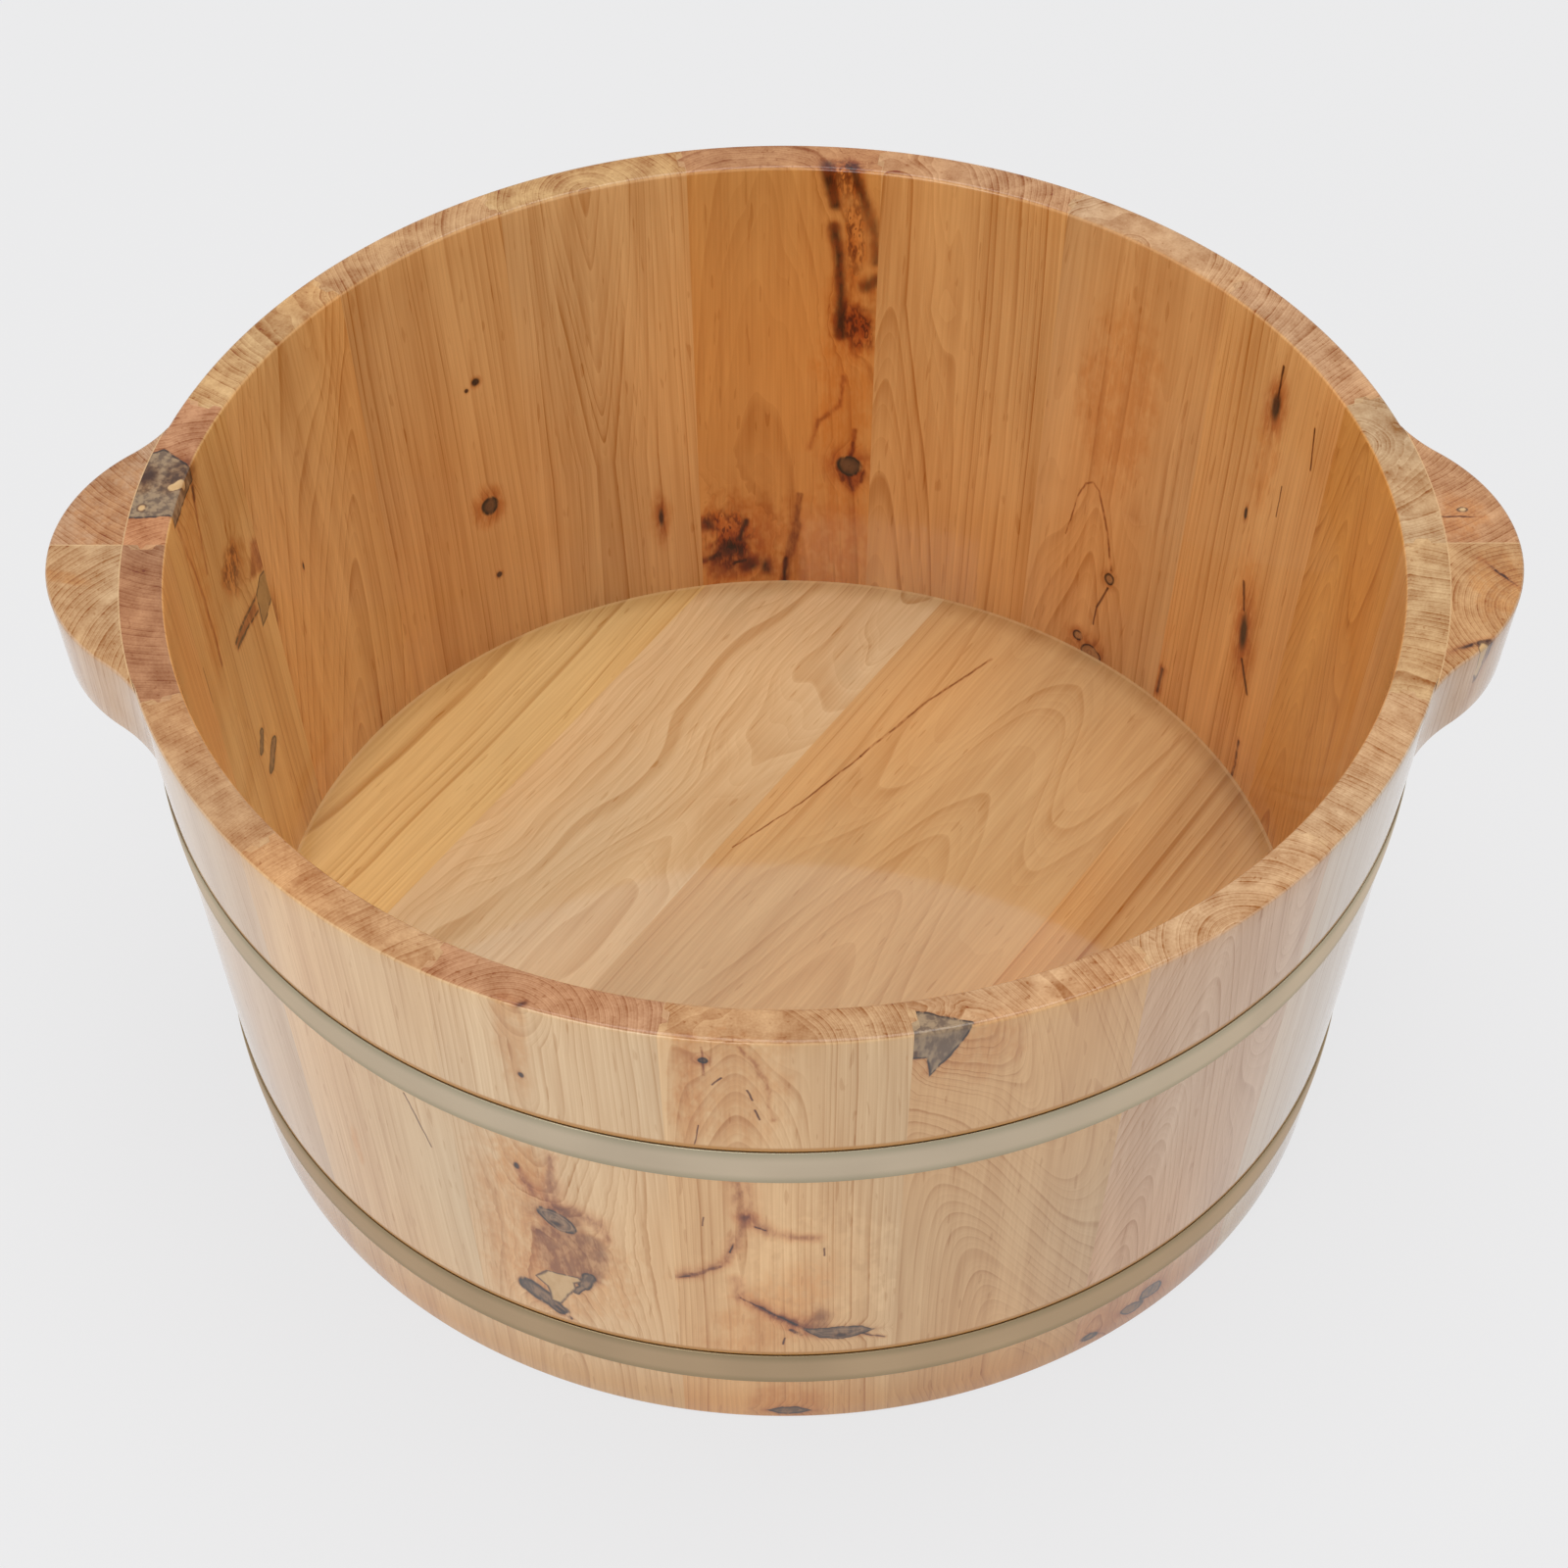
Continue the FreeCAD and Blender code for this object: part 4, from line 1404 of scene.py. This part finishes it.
# %% Make the floor boards
board_seed = 30
board_looks = {
    1: {**tones((217, 182, 121), (217, 182, 121), (206, 160, 108)), "heart": (-190.0, 120.0), "ring": 3.0,
        "streaks": 0.6, "shine": 1.75},
    2: {**tones((214, 182, 136), (214, 182, 136), (206, 160, 108)), "heart": (-52.0, 20.0), "cone": -0.13,
        "cone_from": 10.0, "cone_span": 150.0, "cone_reach": (8.0, 44.0), "ring": 4.6, "contrast": 0.6,
        "sway": ((50.0, 0.015, 0.0075), (13.0, 0.045, 0.02)), "streaks": 0.9, "shine": 1.75},
    3: {**tones((203, 163, 111), (203, 163, 111), (206, 160, 108)), "heart": (24.0, 26.0), "cone": 0.10,
        "cone_from": -170.0, "ring": 4.2, "contrast": 0.55, "streaks": 0.9, "shine": 1.75, "marks": (
        vein("trace", 0.0, (-8.0, 146.0, 0.3), (-16.0, 114.7, 0.4), (-21.0, 80.0, 0.35)),
        vein("trace", 0.0, (-21.0, 80.0, 0.3), (-26.0, 50.0, 0.25), (-34.0, 20.0, 0.2)),
    )},
    4: {**tones((199, 153, 98), (199, 153, 98), (206, 160, 108)), "heart": (230.0, 90.0), "ring": 3.6,
        "streaks": 1.2, "shine": 1.75},
}
for number, look in board_looks.items():
    node = f"floor_board_{number}"
    seed = board_seed + number
    material = wood("wood_" + node, board_place, seed, end_grain=False, dress=dress_board, **look)
    show("wood_" + node, grid_mesh(node, board_points(number)), material, node)
print("floor boards made:", len(board_looks))

# %% [markdown]
# ## Make the ears
# An ear is two short blocks with the grain upright, so what shows most is the end grain of their tops. The
# heart of each block lies beside it, and its rings cross the top in wide arcs. One block has a cracked
# corner that was filled.

# %% Make the ears
ear_seed = 40
ear_tone = colour(202, 166, 132)
ear_looks = {
    "right_ear_back": {"end": colour(180, 130, 88), "heart": (60.0, 180.0), "ring": 2.4, "marks": (
        mark("amber", (12.0, 206.0, 200.0), (8.0, 6.0, 20.0)),
        mark("filler", (15.0, 206.5, 200.0), (1.0, 1.6, 4.0)),
        mark("line", (12.0, 204.0, 200.0), (0.3, 6.0, 5.0)),
    )},
    "right_ear_front": {"end": colour(184, 139, 92), "heart": (-30.0, 225.0), "ring": 2.2, "marks": (
        mark("amber", (-18.0, 214.0, 200.0), (12.0, 7.0, 20.0)),
        mark("crack", (-44.0, 205.0, 200.0), (0.8, 7.0, 9.0), 0, -20),
        mark("crack", (-14.0, 215.0, 200.0), (0.5, 5.0, 5.0), 0, 50),
        mark("filler", (-49.0, 207.5, 195.0), (6.0, 2.6, 14.0), 0, -20),
    )},
    "left_ear_back": {"end": colour(180, 137, 101), "heart": (70.0, -160.0), "ring": 2.4, "marks": (
        mark("amber", (20.0, -205.0, 200.0), (20.0, 10.0, 20.0)),
    )},
    "left_ear_front": {"end": colour(183, 142, 99), "heart": (-60.0, -150.0), "ring": 2.2, "marks": (
        mark("amber", (-14.0, -217.0, 200.0), (2.0, 8.0, 20.0), 0, 20),
    )},
}
for seed, (node, look) in enumerate(ear_looks.items()):
    side = 1 if node.startswith("right") else -1
    look = {"outside": ear_tone, "inside": ear_tone, "contrast": 0.8, **look}
    material = wood("wood_" + node, ear_place, ear_seed + seed, dress=dress_ear, **look)
    mesh = grid_mesh(node, ear_block(side, node.endswith("front")))
    show("wood_" + node, mesh, material, node)
print("ear blocks made:", len(ear_looks))

# %% [markdown]
# ## Make the hoops
# Both hoops are the same strip. The lower one mirrors the ground in the tub's shadow, so its tone is darker:
# painted shade.

# %% Make the hoops
# the lower hoop's darker tone is painted shade
hoop_tones_with_painted_shade = {"upper_hoop": (206, 190, 166), "lower_hoop": (186, 161, 130)}
for node, middle in hoop_middles.items():
    show("steel_" + node, hoop_mesh(node), steel(node, middle, hoop_tones_with_painted_shade[node]), node)
print("hoops made:", len(hoop_tones_with_painted_shade))

# %% [markdown]
# ## Floor, light and background
# The tub stands on plain pale ground in soft light. The ground is a large plane. The camera and the lacquer
# see it mostly at its own pale colour, mixed with how it is really lit, which keeps a soft shadow under the
# tub.

# %% Ground and background
pale_ground = colour(237, 237, 238)
ground_size = 12.0                 # metres
plain_share = 0.88                 # how much of the ground's colour doesn't depend on light
sky_strength = 0.47


def seen_as_background(start):
    """1 for what the camera sees, also in gloss or through glass, and 0 for light on the way to the tub."""
    shown = start.node("ShaderNodeLightPath", {}, {}, "Is Camera Ray")
    for kind_of_ray in ("Is Glossy Ray", "Is Transmission Ray"):
        shown = shown.greater(start.node("ShaderNodeLightPath", {}, {}, kind_of_ray))
    return shown


def ground():
    """Pale ground that keeps the tub's shadow."""
    made, start = new_material("ground")
    lit = start.node("ShaderNodeBsdfDiffuse", {}, {"Color": colour(226, 226, 226)})
    plain = start.node("ShaderNodeEmission", {}, {"Color": pale_ground, "Strength": 1.0})
    inputs = {0: seen_as_background(start) * plain_share, 1: lit, 2: plain}
    start.node("ShaderNodeOutputMaterial", {}, {"Surface": start.node("ShaderNodeMixShader", {}, inputs)})
    return made


bpy.ops.mesh.primitive_plane_add(size=ground_size)
floor = bpy.context.object
floor.name = "ground"
floor.data.materials.append(ground())
floor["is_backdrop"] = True

world = bpy.data.worlds.new("studio")
world.use_nodes = True
world.node_tree.nodes.clear()
start = Wire(world.node_tree)
dim = start.node("ShaderNodeBackground", {}, {"Color": (1, 1, 1, 1), "Strength": sky_strength})
bright = start.node("ShaderNodeBackground", {}, {"Color": pale_ground, "Strength": 1.0})
sky = start.node("ShaderNodeMixShader", {}, {0: seen_as_background(start), 1: dim, 2: bright})
start.node("ShaderNodeOutputWorld", {}, {"Surface": sky})
bpy.context.scene.world = world
print("the ground is", ground_size, "m wide")

# %% Lamps
def lamp(name, place, size, watts):
    """A soft rectangular lamp that points at the middle of the tub."""
    data = bpy.data.lights.new(name, "AREA")
    data.shape = "RECTANGLE"
    data.size, data.size_y = size
    data.energy = watts
    made = bpy.data.objects.new(name, data)
    made.location = place
    toward_tub = Vector((0, 0, tub_height / 2 * MM)) - made.location
    made.rotation_euler = toward_tub.to_track_quat("-Z", "Y").to_euler()
    bpy.context.scene.collection.objects.link(made)


lamp("top", place=(0.15, 0.25, 2.3), size=(1.5, 1.5), watts=26)
lamp("front", place=(-0.8, -1.9, 1.2), size=(1.4, 1.0), watts=14)

# %% [markdown]
# ## Sizes
# The last cell prints how much this model's box has grown over the box of the imported model.

# %% Finish
dressed_low, dressed_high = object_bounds()
grown = (dressed_high - dressed_low) - (frame_high - frame_low)
print("grown by, in millimetres:", [round(v / MM, 2) for v in grown])
